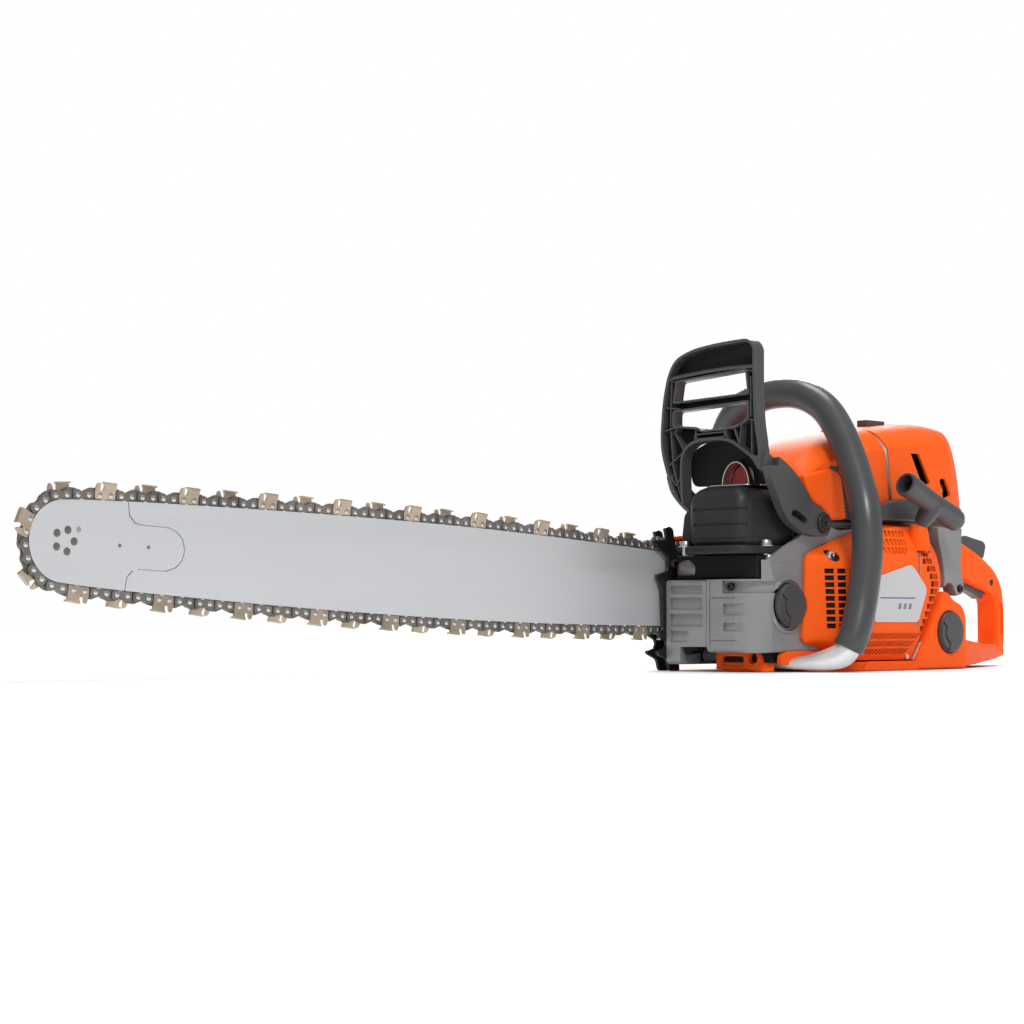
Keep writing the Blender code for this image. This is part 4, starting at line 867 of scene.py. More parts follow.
def crankcase_left():
    outline = [(-138, 17), (-138, 82), (-133, 99), (50, 100), (68, 88), (72, 60), (60, 24), (40, 17)]
    left = -57.0
    case = crowned("crankcase_left_shell", outline, [6, 5, 5, 4, 6, 6, 6, 4], "Y",
                   [(2.6, left), (0.9, left + 1.0), (0, left + 3.2), (0, -0.2)], MAGNESIUM)
    ear = arcs([(-134, 60), (-134, 84), (-129, 95), (-103, 108.5), (-78, 119),
            (-66, 127), (-62, 140), (-54, 145), (-44, 143), (-36, 133), (-20, 127),
            (20, 131), (24, 60)], [2, 6, 6, 10, 10, 8, 6, 6, 5, 6, 10, 4, 2], 4)
    weld(case, prism("ear", ear, "Y", left + 0.4, left + 4.6))
    weld(case, turned("ring", OIL_CAP, [(25.5, left + 2), (25.5, left - 0.9), (24.4, left - 1.7),
            (22.6, left - 1.7), (21.7, left - 0.6), (21.7, left + 2)], "Y", None, 56))
    nose = arcs([(-150, -30), (-138, -30), (-135, -43), (-126, -52), (-111, -58.8), (-111, -70), (-150, -70)],
                [0, 6, 8, 8, 4, 0, 0], 5)
    cut(case,
        prism("rounded_nose", nose, "Z", 10, 125),
        box("muffler_step", (-145, -60), (-52.0, 1), (82, 160)),
        prism("oil_tank", arcs(rect(-124, -46, 27, 76), 8), "Y", -40.0, 1),
        hole(OIL_CAP, CAP_R + 0.8, (-66, -51), count=48),
        hole(OIL_CAP, CAP_R - 4, (-66, -38), count=48),
        hole((0, CRANK_Z), 49, (-70, -47), count=48),
        *crank_room(-1),
        hole(GUARD_PIVOT, 4.4, (-66, -40)))
    cut(case,
        prism("ledge", arcs([(-150, -62), (-150, -18), (-133, -18), (-130.5, -39), (-119, -50.5),
            (-108, -55.4), (-104, -62)], [0, 0, 2, 8, 6, 3, 0], 4), "Z", 69.5, 80.5),
        box("seam_groove", (-145, -137.2), (-4.6, -3.4), (10, 90)),
        panel(rect(-44, -19, 50, 60.5), 2.6),
        panel(rect(-44, -19, 36, 43.5), 2.6),
        box("line", (-145, -137.0), (-50, -6), (65.0, 66.2)),
        box("line", (-145, -137.0), (-50, -6), (27.2, 28.4)))
    soften(case, 0.6, 2)
    show(case, "root", "magnesium", "crankcase_left")
    socket_screw("case_screw", (-25.5, 75.5), "X", -134.4, -1, 3.6, "root", SPIKE)
    mark = prism("oil_mark", [(-103, 27), (-97, 27), (-100, 32)], "Y", left - 0.15, left + 0.5, PRINT)
    show(mark, "root", "magnesium")
    # Black box under the crankcase front: painted shadow in the gap there.
    filler = box("case_shadow", (-110, 58), (-50, 40), (8.6, 16.6), BLACK)
    cut(filler, tube_groove())
    show(filler, "root", "black_plastic")


def crankcase_right():
    outline = arcs([(-138, 6), (-138, 82), (-60, 82), (-60, 100), (50, 100), (68, 88), (72, 60),
            (60, 24), (40, 17), (-61, 17), (-62, 6)], [5, 4, 3, 4, 6, 6, 6, 6, 4, 3, 3])
    case = prism("crankcase_right_shell", outline, "Y", 0.2, 47.0, MAGNESIUM)
    pad = arcs(rect(-92, -48, 60, 84), 6)
    ear = arcs([(-64, 92), (-64, 143), (-42, 143), (-40, 92)], 6)
    weld(case, prism("bar_pad", pad, "Y", 40.0, BAR_Y - BAR_HALF - 0.4), prism("ear", ear, "Y", 40.0, 46.6))
    cut(case,
        prism("pocket", arcs([(-134, 14), (-134, 78), (-60, 78), (-60, 20)], 8), "Y", -1, 40.0),
        box("front_relief", (-145, -60), (-1, 30.7), (0, 22)),
        hole((0, CRANK_Z), 43, (31, 60), count=48),
        *crank_room(1),
        hole(GUARD_PIVOT, 4.4, (30, 60)))
    for stud in STUDS:
        cut(case, hole(bar_point(stud, 0), 4.4, (38, 60)))
    cut(case,
        panel(rect(5, 43, 69.5, 77), 3.0),
        panel(rect(5, 43, 55, 66), 3.0),
        panel(rect(5, 43, 40, 51.5), 3.0),
        panel(rect(22, 43, 26, 36.5), 3.0),
        box("line", (-145, -137.4), (1, 46), (79.4, 80.0)))
    soften(case, 0.6, 2)
    show(case, "root", "magnesium", "crankcase_right")


# Starter side

FACE = [(-33, 37), (-31, 96), (-12, 103), (26, 111.5), (58, 107),
    (72, 97), (84, 78), (60, 37), (-8, 36), (-20, 36)]
SHOULDER = [(-56, 28), (-52, 102), (-24, 114), (34, 132), (86, 132),
    (111, 107), (118, 80), (66, 9.5), (-20, 9.5), (-40, 22)]
RIM = [(-77, 26), (-71, 105), (-30, 118), (36, 135.4), (88, 135.4),
    (113, 108), (119, 82), (66, 9.5), (-25, 9.5), (-52, 22)]
COVER_ROUND = [6, 7, 10, 16, 10, 12, 9, 3, 4, 6]


def starter_shape(name, inset, material=None):
    """The starter cover's bulging outer shape, or the same shape drawn in by an inset."""
    centre = Vector((24, 68))
    middle = [((ax + bx) / 2, (az + bz) / 2) for (ax, az), (bx, bz) in zip(RIM, SHOULDER)]
    loops = []
    for corners, y in ((RIM, -57.5 + 4 * inset), (RIM, -60.2), (middle, -67.5), (SHOULDER, -76.0),
                       (FACE, -93.0 + inset)):
        moved = [Vector(corner) - (Vector(corner) - centre).normalized() * inset * 1.3 for corner in corners]
        loops.append([(x, y, z) for x, z in arcs([tuple(spot) for spot in moved], COVER_ROUND, 6)])
    return loft(name, loops, material)


def slanted(centre, half_a, half_b, lean):
    """A slot outline in X and Z whose top leans to the right."""
    x, z = centre
    return [(x - half_a - lean, z - half_b), (x + half_a - lean, z - half_b), (x + half_a + lean, z + half_b),
            (x - half_a + lean, z + half_b)]


def slot_row(z, first, last, pitch, half_z, lean, depth):
    """One row of slanted openings."""
    count = int((last - first) / pitch) + 1
    return [prism("vent", slanted((first + pitch * index, z), 1.5, half_z, lean), "Y", -110, depth)
            for index in range(count)]


def side_vents():
    return [prism("vent", rect(x, x + 7.2, z, z + 4.4), "Y", -110, -58.6)
            for x in (-58.4, -49.5, -40.6) for z in [38.5 + row * 6.15 for row in range(9)]]


def slot_vents():
    items = []
    for z, first, last in ((125.2, 14, 50), (117.2, 8, 44), (109.4, 2, 38)):
        items += slot_row(z, first, last, 4.9, 2.9, 1.5, -70)
    for z, first, last in ((31.4, -26, 58), (24.4, -30, 54), (17.4, -28, 50)):
        items += slot_row(z, first, last, 5.2, 2.5, 2.2, -62)
    return items


SPINE = ((68, 107.5), (75, 100.5), (81.5, 93.5), (86, 86.5), (88, 79.5), (87, 72.5), (84.5, 65.5), (81, 58.5),
         (77.5, 51.5), (73.5, 44.5), (69.5, 38))


def lattice_vents():
    """Rows of three openings that follow the label's rear edge."""
    return [prism("vent", rect(x + shift - 3.6, x + shift + 3.6, z - 2.6, z + 2.6), "Y", -110, -66)
            for x, z in SPINE for shift in (-8.6, 0.4, 9.4)]


def starter_cover():
    cover = cut(starter_shape("starter_shell", 0, ORANGE), starter_shape("inside", 1.6))
    boss = turned("rope_boss", ROPE_MOUTH, [(11, 108), (10.6, 116), (9.4, 126),
            (8.0, 133), (6.4, 134.6)], "Z", None, 32)
    weld(cover, boss, hole((0, CRANK_Z), 6, (-92, -78)))
    for group in (side_vents(), slot_vents(), lattice_vents()):
        cut(cover, gather("vents", group))
    cut(cover,
        hole(ROPE_MOUTH, 3.5, (90, 140), "Z", 20),
        hole(OIL_CAP, CAP_R + 2.6, (-90, -50), count=48),
        hole(STARTER_SCREW, 5.4, (-110, -61)))
    soften(cover, 0.45, 2)
    show(cover, "root", "orange_plastic", "starter_cover")
    liner = starter_shape("starter_liner", 2.6, BLACK)
    cut(liner, starter_shape("inside", 3.8), hole((0, CRANK_Z), 9, (-92, -50)),
        hole(ROPE_MOUTH, 10, (112, 140), "Z", 20))
    show(liner, "root", "black_plastic")
    socket_screw("starter_screw", STARTER_SCREW, "Y", -69.0, -1, 4.6, "root", STEEL)
    socket_screw("starter_screw_low", (56.0, 12.5), "Y", -77.0, -1, 2.6, "root", STEEL)
    well = prism("screw_well", circle(STARTER_SCREW, 5.2, 28), "Y", -68.6, -61, BLACK)
    show(well, "root", "black_plastic")


def starter_trim():
    """Grey strips round the label panel, and the light edge along the cover's rear seam, painted on as a
    highlight.
    """
    # Painted highlight: the orange cover's rear edge drawn in the bright tube alloy.
    loops = [[(x - 0.4, -77.4, z), (x + 0.9, -77.4, z), (x + 0.9, -75.4, z), (x - 0.4, -75.4, z)]
             for x, z in ((80.5, 25.4), (74, 17), (68.2, 9.6))]
    show(loft("rear_edge_highlight", loops, ALLOY), "root", "orange_plastic")
    strips = [((34.5, -78.2, 127.0), (46, -86.5, 115.6), 0.5),
            ((46, -86.7, 115.6), (55.5, -93.5, 106.4), 0.5), ((57.0, -93.4, 108.0),
            (57.0, -93.4, 88.0), 0.6), ((55.0, -93.4, 50.5), (55.0, -93.4, 40.0), 0.6)]
    items = []
    for start, end, half in strips:
        items.append(loft("strip", [[(x - half, y - 0.5, z), (x + half, y - 0.5, z), (x + half, y + 1.2, z),
                                     (x - half, y + 1.2, z)] for x, y, z in (start, end)], MAGNESIUM))
    show(gather("cover_strips", items), "root", "magnesium")
    base = prism("base_panel", arcs([(-16, 0.3), (-10, 8.4),
            (50, 8.4), (44, 0.3)], 1.2), "Y", -82.4, -79, ORANGE)
    show(soften(base, 0.5, 2), "root", "orange_plastic")


def label_plate():
    outline = arcs([(-14, 44), (-14, 84), (42, 97), (48, 93.5),
            (66, 77), (67, 72), (53, 44)], [2, 2, 3, 3, 3, 3, 3])
    plate = prism("label", outline, "Y", -94.2, -93.2, LABEL)
    show(soften(plate, 0.3, 2), "root", "label", "label_plate")
    line = prism("label_line", rect(-6, 48, 65.6, 66.5), "Y", -94.45, -94.1, BLUE)
    show(line, "root", "label")
    chips = [prism("chip", slanted((x, 58.5), 2.0, 2.6, 0.8),
            "Y", -94.45, -94.1, PRINT) for x in (24, 32, 40)]
    show(gather("label_chips", chips), "root", "label")


def t_handle():
    """T-shaped pull grip with its stem, and the short run of rope between the cover and the grip."""
    start = Vector((24, -101, 170.5))
    end = Vector((110, -101, 137.0))
    along = (end - start).normalized()
    sizes = ((0.0, 10.6), (0.02, 11.4), (0.12, 11.3), (0.35, 10.2), (0.5, 10.2), (0.66, 10.8), (0.85, 11.2),
             (0.94, 10.4), (0.985, 7.8), (1.0, 4.0))
    path = [start + (end - start) * t for t, size in sizes]

    def grip_size(t):
        size = sizes[round(t * (len(sizes) - 1))][1]
        return size * 0.94, size

    grip = loft("pull_grip", sections(path, grip_size, 28), DARK, smooth=60)
    middle = start + (end - start) * 0.5
    stem_path = curve_points([tuple(middle), (66.5, -99, 149), (66, -94, 142), (66, -89, 136)], 4)
    stem = loft("stem", sections(stem_path, lambda t: (10.5 - 3.4 * t, 11.5 - 4.4 * t), 24), DARK)
    weld(grip, stem)
    mouth = [start - along * 3, start + along * 16]
    cut(grip, loft("mouth", sections(mouth, lambda t: (8.0, 8.8), 28), None))
    soften(grip, 0.8, 2, 35)
    shade(grip, 60)
    show(grip, "starter_grip", "dark_plastic", "starter_handle")
    rope = tube("pull_rope", [Vector((66, -86, 112)), Vector((66, -86.6, 128)), Vector((66, -89.6, 138)),
                              Vector((66, -92, 143))], 2.2, ALLOY, 12)
    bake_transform(rope)


def cap_pair(name, centre, y, body, tab_body, cap_node, tab_node):
    """Filler cap with a folding grip tab sunk into its face, whose lip shows as a crescent."""
    rings = [(CAP_R - 4.6, y + 6), (CAP_R - 4.6, y - 0.4), (CAP_R - 1.0, y - 0.4),
            (CAP_R, y - 1.2), (CAP_R, y - 4.6), (CAP_R - 0.8, y - 6.2), (CAP_R - 2.4, y - 7.0)]
    cap = turned(name, centre, rings, "Y", DARK, 64)
    recess = arc(centre, 17.4, 150, 250, 10) + arc(centre, 11.4, 246, 154, 10)
    cut(cap, prism("recess", offset(recess, -0.9), "Y", y - 9, y - 3.6))
    soften(cap, 0.35, 2)
    show(cap, body, "dark_plastic", cap_node)
    tab = prism(name + "_flap", recess, "Y", y - 6.5, y - 4.6, DARK)
    soften(tab, 0.5, 2)
    show(tab, tab_body, "dark_plastic", tab_node)


# Top covers

def cover_solid(name, profile, anchor, y_span, shrink, material=None, taper=0.0):
    """Crowned cover: the side profile is scaled towards an anchor near both sides; taper rounds the rear."""
    middle = (y_span[0] + y_span[1]) / 2
    half = (y_span[1] - y_span[0]) / 2 - shrink
    loops = []
    sides = [-1, -0.985, -0.96, -0.92, -0.86, -0.78, -0.68, -0.5, -0.25]
    for side in sides + [0] + [-value for value in sides[::-1]]:
        scale = 1 - 0.26 * abs(side) ** 5 - 0.04 * abs(side) ** 2
        rear = scale if taper == 0 else 1 - taper * abs(side) ** 2.6
        loops.append([(anchor[0] + (x - anchor[0]) * rear if x > anchor[0] else x, middle + half * side,
                       anchor[1] + (z - anchor[1]) * scale) for x, z in profile])
    return loft(name, loops, material, smooth=42)


def seam_wedge(low_x, far_x):
    """Cutter on one side of the slanted seam between the covers, out to far_x."""
    return prism("seam", [(low_x, 130), (low_x - 16, 240), (far_x, 240), (far_x, 130)], "Y", -70, 70)


def filter_profile(points, low):
    return arcs([(points[0][0], low)] + points, [0, 3, 44, 24, 24, 22, 0], 9)


def air_filter_cover():
    top = [(44, 226.8), (131, 237), (184, 233), (203, 220), (219, 190), (226, 155)]
    inner = [(66, 226.0), (131, 234.4), (182, 230.4), (200.6, 218), (216.2, 189), (223, 150)]
    cover = cover_solid("filter_shell", filter_profile(top, 155), COVER_ANCHOR, (-60, 56), 0, ORANGE, 0.9)
    cut(cover, cover_solid("inside", filter_profile(inner, 150), COVER_ANCHOR, (-60, 56), 2.6, None, 0.9))
    slot = arcs([(91.5, 203.5), (105, 203.5), (123.5, 176), (110, 174)], [2, 2, 2, 2])
    cut(cover,
        seam_wedge(65.8, 20),
        prism("slot", slot, "Y", -80, -40),
        prism("knob_hole", arcs([(138.5, 181), (148, 182), (158, 166), (145, 162)], 3), "Y", -80, -40))
    soften(cover, 0.5, 2)
    show(cover, "root", "orange_plastic", "air_filter_cover")
    liner = prism("filter_liner", arcs([(90, 208), (128, 208), (166, 186),
            (166, 158), (110, 158)], 5), "Y", -50, -48, BLACK)
    show(liner, "root", "black_plastic")
    latch = turned("filter_latch", (151.0, 172.5),
            [(5.4, -47), (5.4, -53), (4.2, -54.5), (2, -55)], "Y", STEEL, 24)
    show(latch, "root", "steel")


def cylinder_profile(points, low):
    return arcs([(points[-1][0], low)] + points, [0, 0, 10, 16, 36, 70, 1], 9)


def cylinder_cover():
    top = [(-70, 146), (-76, 164), (-70, 186), (-40, 207), (10, 222), (73.4, 231)]
    inner = [(-66.5, 140), (-73, 164), (-67.4, 184.6), (-38.4, 204.4), (10, 219.4), (76, 228.4)]
    cover = cover_solid("cylinder_shell", cylinder_profile(top, 146), (80, 146), (-57.2, 47), 0, ORANGE)
    cut(cover, cover_solid("inside", cylinder_profile(inner, 140), (80, 146), (-57.2, 47), 2.6))
    cut(cover,
        hole(VALVE, 8.7, (200, 240), "Z", 32),
        seam_wedge(64.6, 95),
        box("front_lip", (-90, 90), (-70, 70), (130, 146.5)),
        box("housing_relief", (48, 90), (-70, 70), (130, 155)),
        box("muffler_window", (-91, -58.3), (-50.7, 37.3), (139, 171.3)))
    scoop = arcs([(-33, 186), (4, 188), (14, 176), (4, 140), (-22, 140)], [4, 6, 6, 2, 2], 4)
    cut(cover, prism("scoop", scoop, "Y", -80, -48))
    soften(cover, 0.6, 2)
    show(cover, "root", "orange_plastic", "cylinder_cover")


def cover_side():
    """Orange side box below the cover, the ribbed air intake beside it and the seam gasket."""
    side = [(-74, 176), (-30, 184), (-18, 178), (-10, 138), (-34, 136), (-46, 146.5), (-58, 150), (-70, 164)]
    shell = crowned("side_box", side, [5, 8, 6, 4, 4, 4, 5, 6], "Y",
            [(2.4, -61), (0.6, -59.8), (0, -58), (0, -50)], ORANGE)
    show(soften(shell, 0.5, 2), "root", "orange_plastic")
    items = []
    for rib in range(13):
        z = 181 - rib * 3.4
        x = -31 + rib * 1.2
        items.append(box("rib", (x, x + 24), (-53.4, -49.5), (z - 1.1, z + 1.1), DARK))
    items.append(prism("rib_back", [(-32, 186), (-6, 186), (10, 138), (-16, 138)], "Y", -50.6, -48.6, DARK))
    for x, face in ((-33, -56.0), (-6, -55.0)):
        items.append(prism("rib_edge", [(x, 186), (x + 2.5, 186),
                (x + 18.5, 138), (x + 16, 138)], "Y", face, -49, DARK))
    show(soften(gather("intake_ribs", items), 0.3, 1), "root", "dark_plastic")
    gasket = cover_solid("seam_gasket", arcs([(52, 156), (52, 225.6), (68, 226.8), (68, 156)], 0.05, 1),
                         COVER_ANCHOR, (-59.4, 55.4), 0, MAGNESIUM)
    cut(gasket, seam_wedge(64.8, 20), seam_wedge(65.6, 95))
    show(gasket, "root", "magnesium")


def intake_housing():
    outline = [(50, -62), (150, -62), (178, -58), (202, -42),
            (220, -18), (220, 14), (202, 38), (178, 54), (50, 54)]
    housing = crowned("intake_tray", outline, [3, 12, 12, 12, 12, 12, 12, 12, 3], "Z",
                      [(3, 136), (0.8, 138), (0, 141), (0, 154)], DARK)
    cut(housing,
        box("carburettor_bay", (40, 120), (-26, 26), (130, 160)),
        box("tray", (126, 194), (-42, 38), (140, 160)),
        box("handle_seat", (165, 240), (-18, 18), (130, 138)))
    soften(housing, 0.8, 2)
    show(housing, "root", "dark_plastic", "intake_housing")
    wing = [(14, 137.5), (16, 150), (60, 159), (92, 159), (112, 150), (114, 137.5)]
    side = crowned("intake_side", wing, [3, 6, 8, 8, 6, 3], "Y",
            [(2.6, -72), (0.8, -71), (0, -68), (0, -60.4)], DARK)
    show(soften(side, 0.5, 2), "root", "dark_plastic")


def valve():
    rings = [(4, 200.5), (4, 215), (7.4, 218), (7.4, 225.5), (6.6, 226.5), (3.2, 226.8)]
    show(turned("valve_button", VALVE, rings, "Z", DARK, 32), "decompression", "dark_plastic",
         "decompression_valve")
    top = soften(prism("cover_badge", arcs(rect(74, 104, -22, -10), 2), "Z", 229.0, 236.4, DARK), 0.6, 2)
    show(top, "root", "dark_plastic")


# Tank unit and rear handle

def tank_unit():
    tank = [(70, 0), (70, 9), (117, 73), (123, 73), (131, 66), (146, 61), (153, 50), (153, 0)]
    shell = crowned("tank_shell", tank, [2, 3, 4, 3, 4, 8, 8, 2], "Y",
                    [(4.0, -81), (1.4, -80), (0, -77), (0, 46), (3, 50)], ORANGE)
    boss = turned("cap_boss", FUEL_CAP, [(24.0, -70), (24.0, -79.5),
            (23.2, -81), (21.6, -81), (21.0, -79.4)], "Y", None, 56)
    weld(shell, boss)
    cut(shell, hole(FUEL_CAP, CAP_R + 0.9, (-90, -77.4), count=56), hole(FUEL_CAP, CAP_R - 4, (-90, -60)))
    soften(shell, 0.8, 2)
    show(shell, "root", "orange_plastic", "tank_unit")
    plate = prism("base_plate", arcs([(-112, -44), (-60, -60), (-28, -80), (74, -80), (74, 40),
            (-20, 40), (-50, 5), (-112, 5)], [4, 10, 12, 2, 2, 10, 10, 4]), "Z", 0.0, 8.2, ORANGE)
    cut(plate, tube_groove())
    show(soften(plate, 1.0, 3), "root", "orange_plastic")
    front = prism("front_foot", arcs([(-43, 1.5), (-43, 13), (-36, 20.5), (-8, 21.5), (2, 20),
            (9.4, 18), (9.4, 1.5)], [3, 4, 4, 4, 3, 1, 1]), "X", -113.5, -52, ORANGE)
    cut(front,
        hole(FOOT_SCREW, 5.0, (-120, -104), "X"),
        prism("front_pocket", arcs(rect(-22, 2, 5, 13.5), 2), "X", -120, -108.5),
        tube_groove())
    show(soften(front, 0.8, 2), "root", "orange_plastic")
    collar = turned("foot_collar", FOOT_SCREW, [(6.8, -112), (6.8, -114.4),
            (5.2, -115), (5.0, -111)], "X", ORANGE, 32, closed=True)
    show(collar, "root", "orange_plastic")
    rib = prism("side_rib", arcs([(-104, 6), (-104, 15), (-96, 18.5),
            (-46, 18.5), (-40, 15), (-40, 6)], 3), "Y", -58, -52, ORANGE)
    show(soften(rib, 1.2, 2), "root", "orange_plastic")


def sloped_block(name, spans, radii):
    """Solid between rounded rectangles, each given as (x, low y, high y, low z, high z)."""
    return loft(name, [[(x, y, z) for y, z in arcs(rect(y0, y1, z0, z1), radii, 5)]
                       for x, y0, y1, z0, z1 in spans], ORANGE, smooth=50)


def rear_handle():
    """Rounded loop: the grip above, the back leg and the broad tapering foot below."""
    loop = [(146, 20), (146, 100), (166, 131), (226, 131), (252, 123), (281, 112),
            (306, 98.5), (320, 82), (324, 60), (324, 18), (316, 9), (258, 8), (200, 7)]
    gap = [(208, 24), (208, 84), (226, 92), (300, 73), (309, 64), (309, 20)]
    rows = [(4.6, -13.2), (2.2, -12.2), (0.7, -10.4), (0, -7.5),
            (0, 7.5), (0.7, 10.4), (2.2, 12.2), (4.6, 13.2)]
    handle = crowned("rear_handle", loop, [2, 20, 6, 16, 40, 40, 30, 20, 30, 6, 6, 10, 10], "Y",
                     rows, ORANGE, 7)
    opening = crowned("finger_gap", gap, [16, 8, 14, 6, 10, 8], "Y",
                      [(-5.4, -14)] + [(-drawn, y) for drawn, y in rows] + [(-5.4, 14)], None, 7)
    cut(handle, opening)
    spans = ((150, -76, 48, 1, 29), (178, -66, 46, 2, 27), (204, -58, 44, 3, 25),
            (232, -48, 38, 4.5, 23), (258, -38, 34, 5.5, 22), (292, -24, 24, 7, 21.5),
            (316, -13, 13, 8.5, 20.5), (323.6, -11, 11, 9.5, 20))
    foot = sloped_block("rear_foot", spans, [3, 3, 5, 5])
    neck_spans = ((149, -30, 30, 20, 128), (160, -26, 26, 22, 130), (178, -17, 17, 24, 130.5),
                  (196, -15, 15, 28, 129))
    neck = sloped_block("rear_neck", neck_spans, 7)
    weld(handle, neck, foot)
    cut(handle,
        prism("trigger_slot", [(227, 60), (300, 60), (300, 92), (264, 99.5), (227, 101)], "Y", -6.5, 6.5),
        prism("lockout_slot", [(246, 109), (258, 103.5),
            (303, 95.5), (303, 140), (246, 140)], "Y", -6.5, 6.5),
        hole(HANDLE_PIN, 3.4, (-40, -10)),
        prism("handle_pocket", arcs([(312, 32), (312, 60),
            (315, 64), (319, 60), (319, 32)], 2), "Y", -30, -11.4))
    soften(handle, 0.8, 2, 40)
    show(handle, "root", "orange_plastic")
    pin = turned("handle_pin", HANDLE_PIN, [(3.2, -9), (3.2, -12.6), (2.4, -13.0)], "Y", SPIKE, 24)
    show(pin, "root", "black_steel")


def trigger_set():
    outline = arcs([(232, 100), (230, 90), (252, 80), (280, 72), (292, 67), (296, 70), (294, 80), (262, 92)],
                   [4, 4, 10, 8, 3, 2, 3, 6], 6)
    show(soften(prism("trigger", outline, "Y", -5.8, 5.8, DARK), 1.4, 3), "trigger", "dark_plastic",
         "throttle_trigger")
    outline = arcs([(250, 112), (248, 120), (255, 130), (264, 131.5), (297, 126),
            (301, 122), (297, 110), (292, 106), (262, 110)], [3, 3, 4, 6, 4, 3, 2, 3, 6], 6)
    show(soften(prism("lockout", outline, "Y", -5.8, 5.8, DARK), 1.4, 3), "lockout", "dark_plastic",
         "throttle_lockout")


def stop_lever():
    arm = arcs([(190, 25), (190, 35), (218, 34), (228, 32), (228, 28), (218, 26)], [4, 4, 2, 2, 2, 2], 5)
    lever = prism("stop_switch", arm, "Z", 125, 131, RED)
    weld(lever, turned("stem", (196, 30), [(4.5, 124), (4.5, 135.4)], "Z", None, 24))
    show(soften(lever, 0.8, 2), "stop", "red_plastic", "stop_lever")


# Front handle

ROUTE = ((-84, -34, 7), (-82, -52, 7), (-78, -80, 9.5), (-71, -99, 15), (-67.5, -105, 24), (-62, -108, 38),
    (-52, -108.5, 70), (-46, -109, 108), (-42, -104, 144), (-33, -88, 178), (-25, -68, 211),
    (-20.5, -45, 239), (-20.5, -18, 254), (-22, 12, 257), (-24, 40, 251), (-22, 62, 238), (-14, 82, 213),
    (-2, 95, 180), (20, 103, 140), (46, 104, 100), (63, 99, 68), (72, 90, 46), (76, 78, 33))
ROUTE_STEPS = 6
TUBE_R = 11.0
FOOT_HALF = (12.8, 4.8)
SLEEVE_R = 13.9


def front_handle():
    path = curve_points(ROUTE, ROUTE_STEPS)

    def sizes(t):
        """Flattened at the front foot, round from there on."""
        rounding = min(1.0, max(0.0, (t - 0.03) / 0.11))
        rounding = rounding * rounding * (3 - 2 * rounding)
        return [half + (TUBE_R - half) * rounding for half in FOOT_HALF]

    tube_item = loft("handle_tube", sections(path, sizes, 32), ALLOY, smooth=60)
    show(tube_item, "root", "bare_alloy", "front_handle_tube")
    part = path[4 * ROUTE_STEPS - 2:19 * ROUTE_STEPS + 1]
    count = len(part) - 1

    def sleeve_size(t):
        edge = min(t, 1 - t) * count
        size = SLEEVE_R if edge >= 1 else SLEEVE_R - 1.1
        return size, size

    show(loft("handle_sleeve", sections(part, sleeve_size, 36), SLEEVE, smooth=60), "root", "handle_rubber",
         "front_handle_grip")


def handle_clamp():
    block = prism("handle_bracket", arcs([(60, 20), (60, 48), (94, 48),
            (94, 20)], 6), "Y", 50.6, 94, MAGNESIUM)
    show(soften(block, 1.2, 2), "root", "magnesium", "handle_clamp")
    for name, x in (("clamp_screw_a", 68.0), ("clamp_screw_b", 87.0)):
        socket_screw(name, (x, 34.0), "Y", 94, 1, 4, "root")


def rear_bracket():
    outline = [(126, 76), (127, 86), (124, 104), (117, 124), (116, 134.5), (158, 134.5),
            (155, 100), (157, 88), (161, 80), (158, 70), (146, 68.5), (141, 80), (134, 81)]
    arm = crowned("bracket_arm", outline, [2, 8, 16, 8, 2, 3, 20, 8, 5, 5, 5, 5, 3], "Y",
                  [(2.2, -73.6), (0.8, -72.6), (0, -70), (0, -60)], MAGNESIUM)
    cut(arm, hole(BRACKET_SCREW, 4.4, (-90, -72.2)))
    soften(arm, 0.7, 2)
    show(arm, "root", "magnesium", "rear_bracket")
    socket_screw("bracket_screw", BRACKET_SCREW, "Y", -72.4, -1, 3.4, "root", SPIKE)


def bellows():
    wave = ((4.8, 10.2), (6.4, 11.2), (6.9, 12.2), (6.4, 13.2))
    rings = [(radius, y + rib * 4.2) for rib in range(4) for radius, y in wave] + [(4.8, 26.0)]
    show(turned("bellows", (-106, 14), rings, "Y", RUBBER, 36), "root", "rubber", "front_bellows")


# Clutch side

def clutch_cover():
    outline = [(-119, 22), (-119, 122), (-60, 126), (0, 122), (40, 112),
            (62, 84), (60, 44), (36, 20), (-20, 12), (-90, 14)]
    radii = [6, 10, 20, 24, 26, 20, 20, 18, 20, 12]
    cover = crowned("clutch_shell", outline, radii, "Y",
                    [(0, 59.5), (0, 77), (1.6, 81), (4.5, 83.6), (6.0, 84.0)], ORANGE, 7)
    inner = [(x - 12 if x < -112 else x, z) for x, z in offset(outline, 3.2)]
    cut(cover, prism("inside", arcs(inner, [max(1, size - 3) for size in radii], 7), "Y", 50, 80.5))
    weld(cover, prism("pad", arcs([(-92, 60), (-92, 85), (-34, 85),
            (-34, 58)], 6), "Y", BAR_Y + BAR_HALF + 0.4, 82))
    for stud in STUDS:
        cut(cover, hole(bar_point(stud, 0), 4.4, (50, 90)))
    recess = arcs([(-98, 52), (-98, 93), (-28, 93), (-28, 50)], 10)
    cut(cover, prism("recess", recess, "Y", 82.2, 90))
    vents = [prism("vent", arcs(rect(4, 40, z, z + 4.4), 2), "Y", 81.6, 90) for z in range(40, 94, 9)]
    cut(cover, gather("vents", vents))
    soften(cover, 0.6, 2)
    show(cover, "root", "orange_plastic", "clutch_cover")


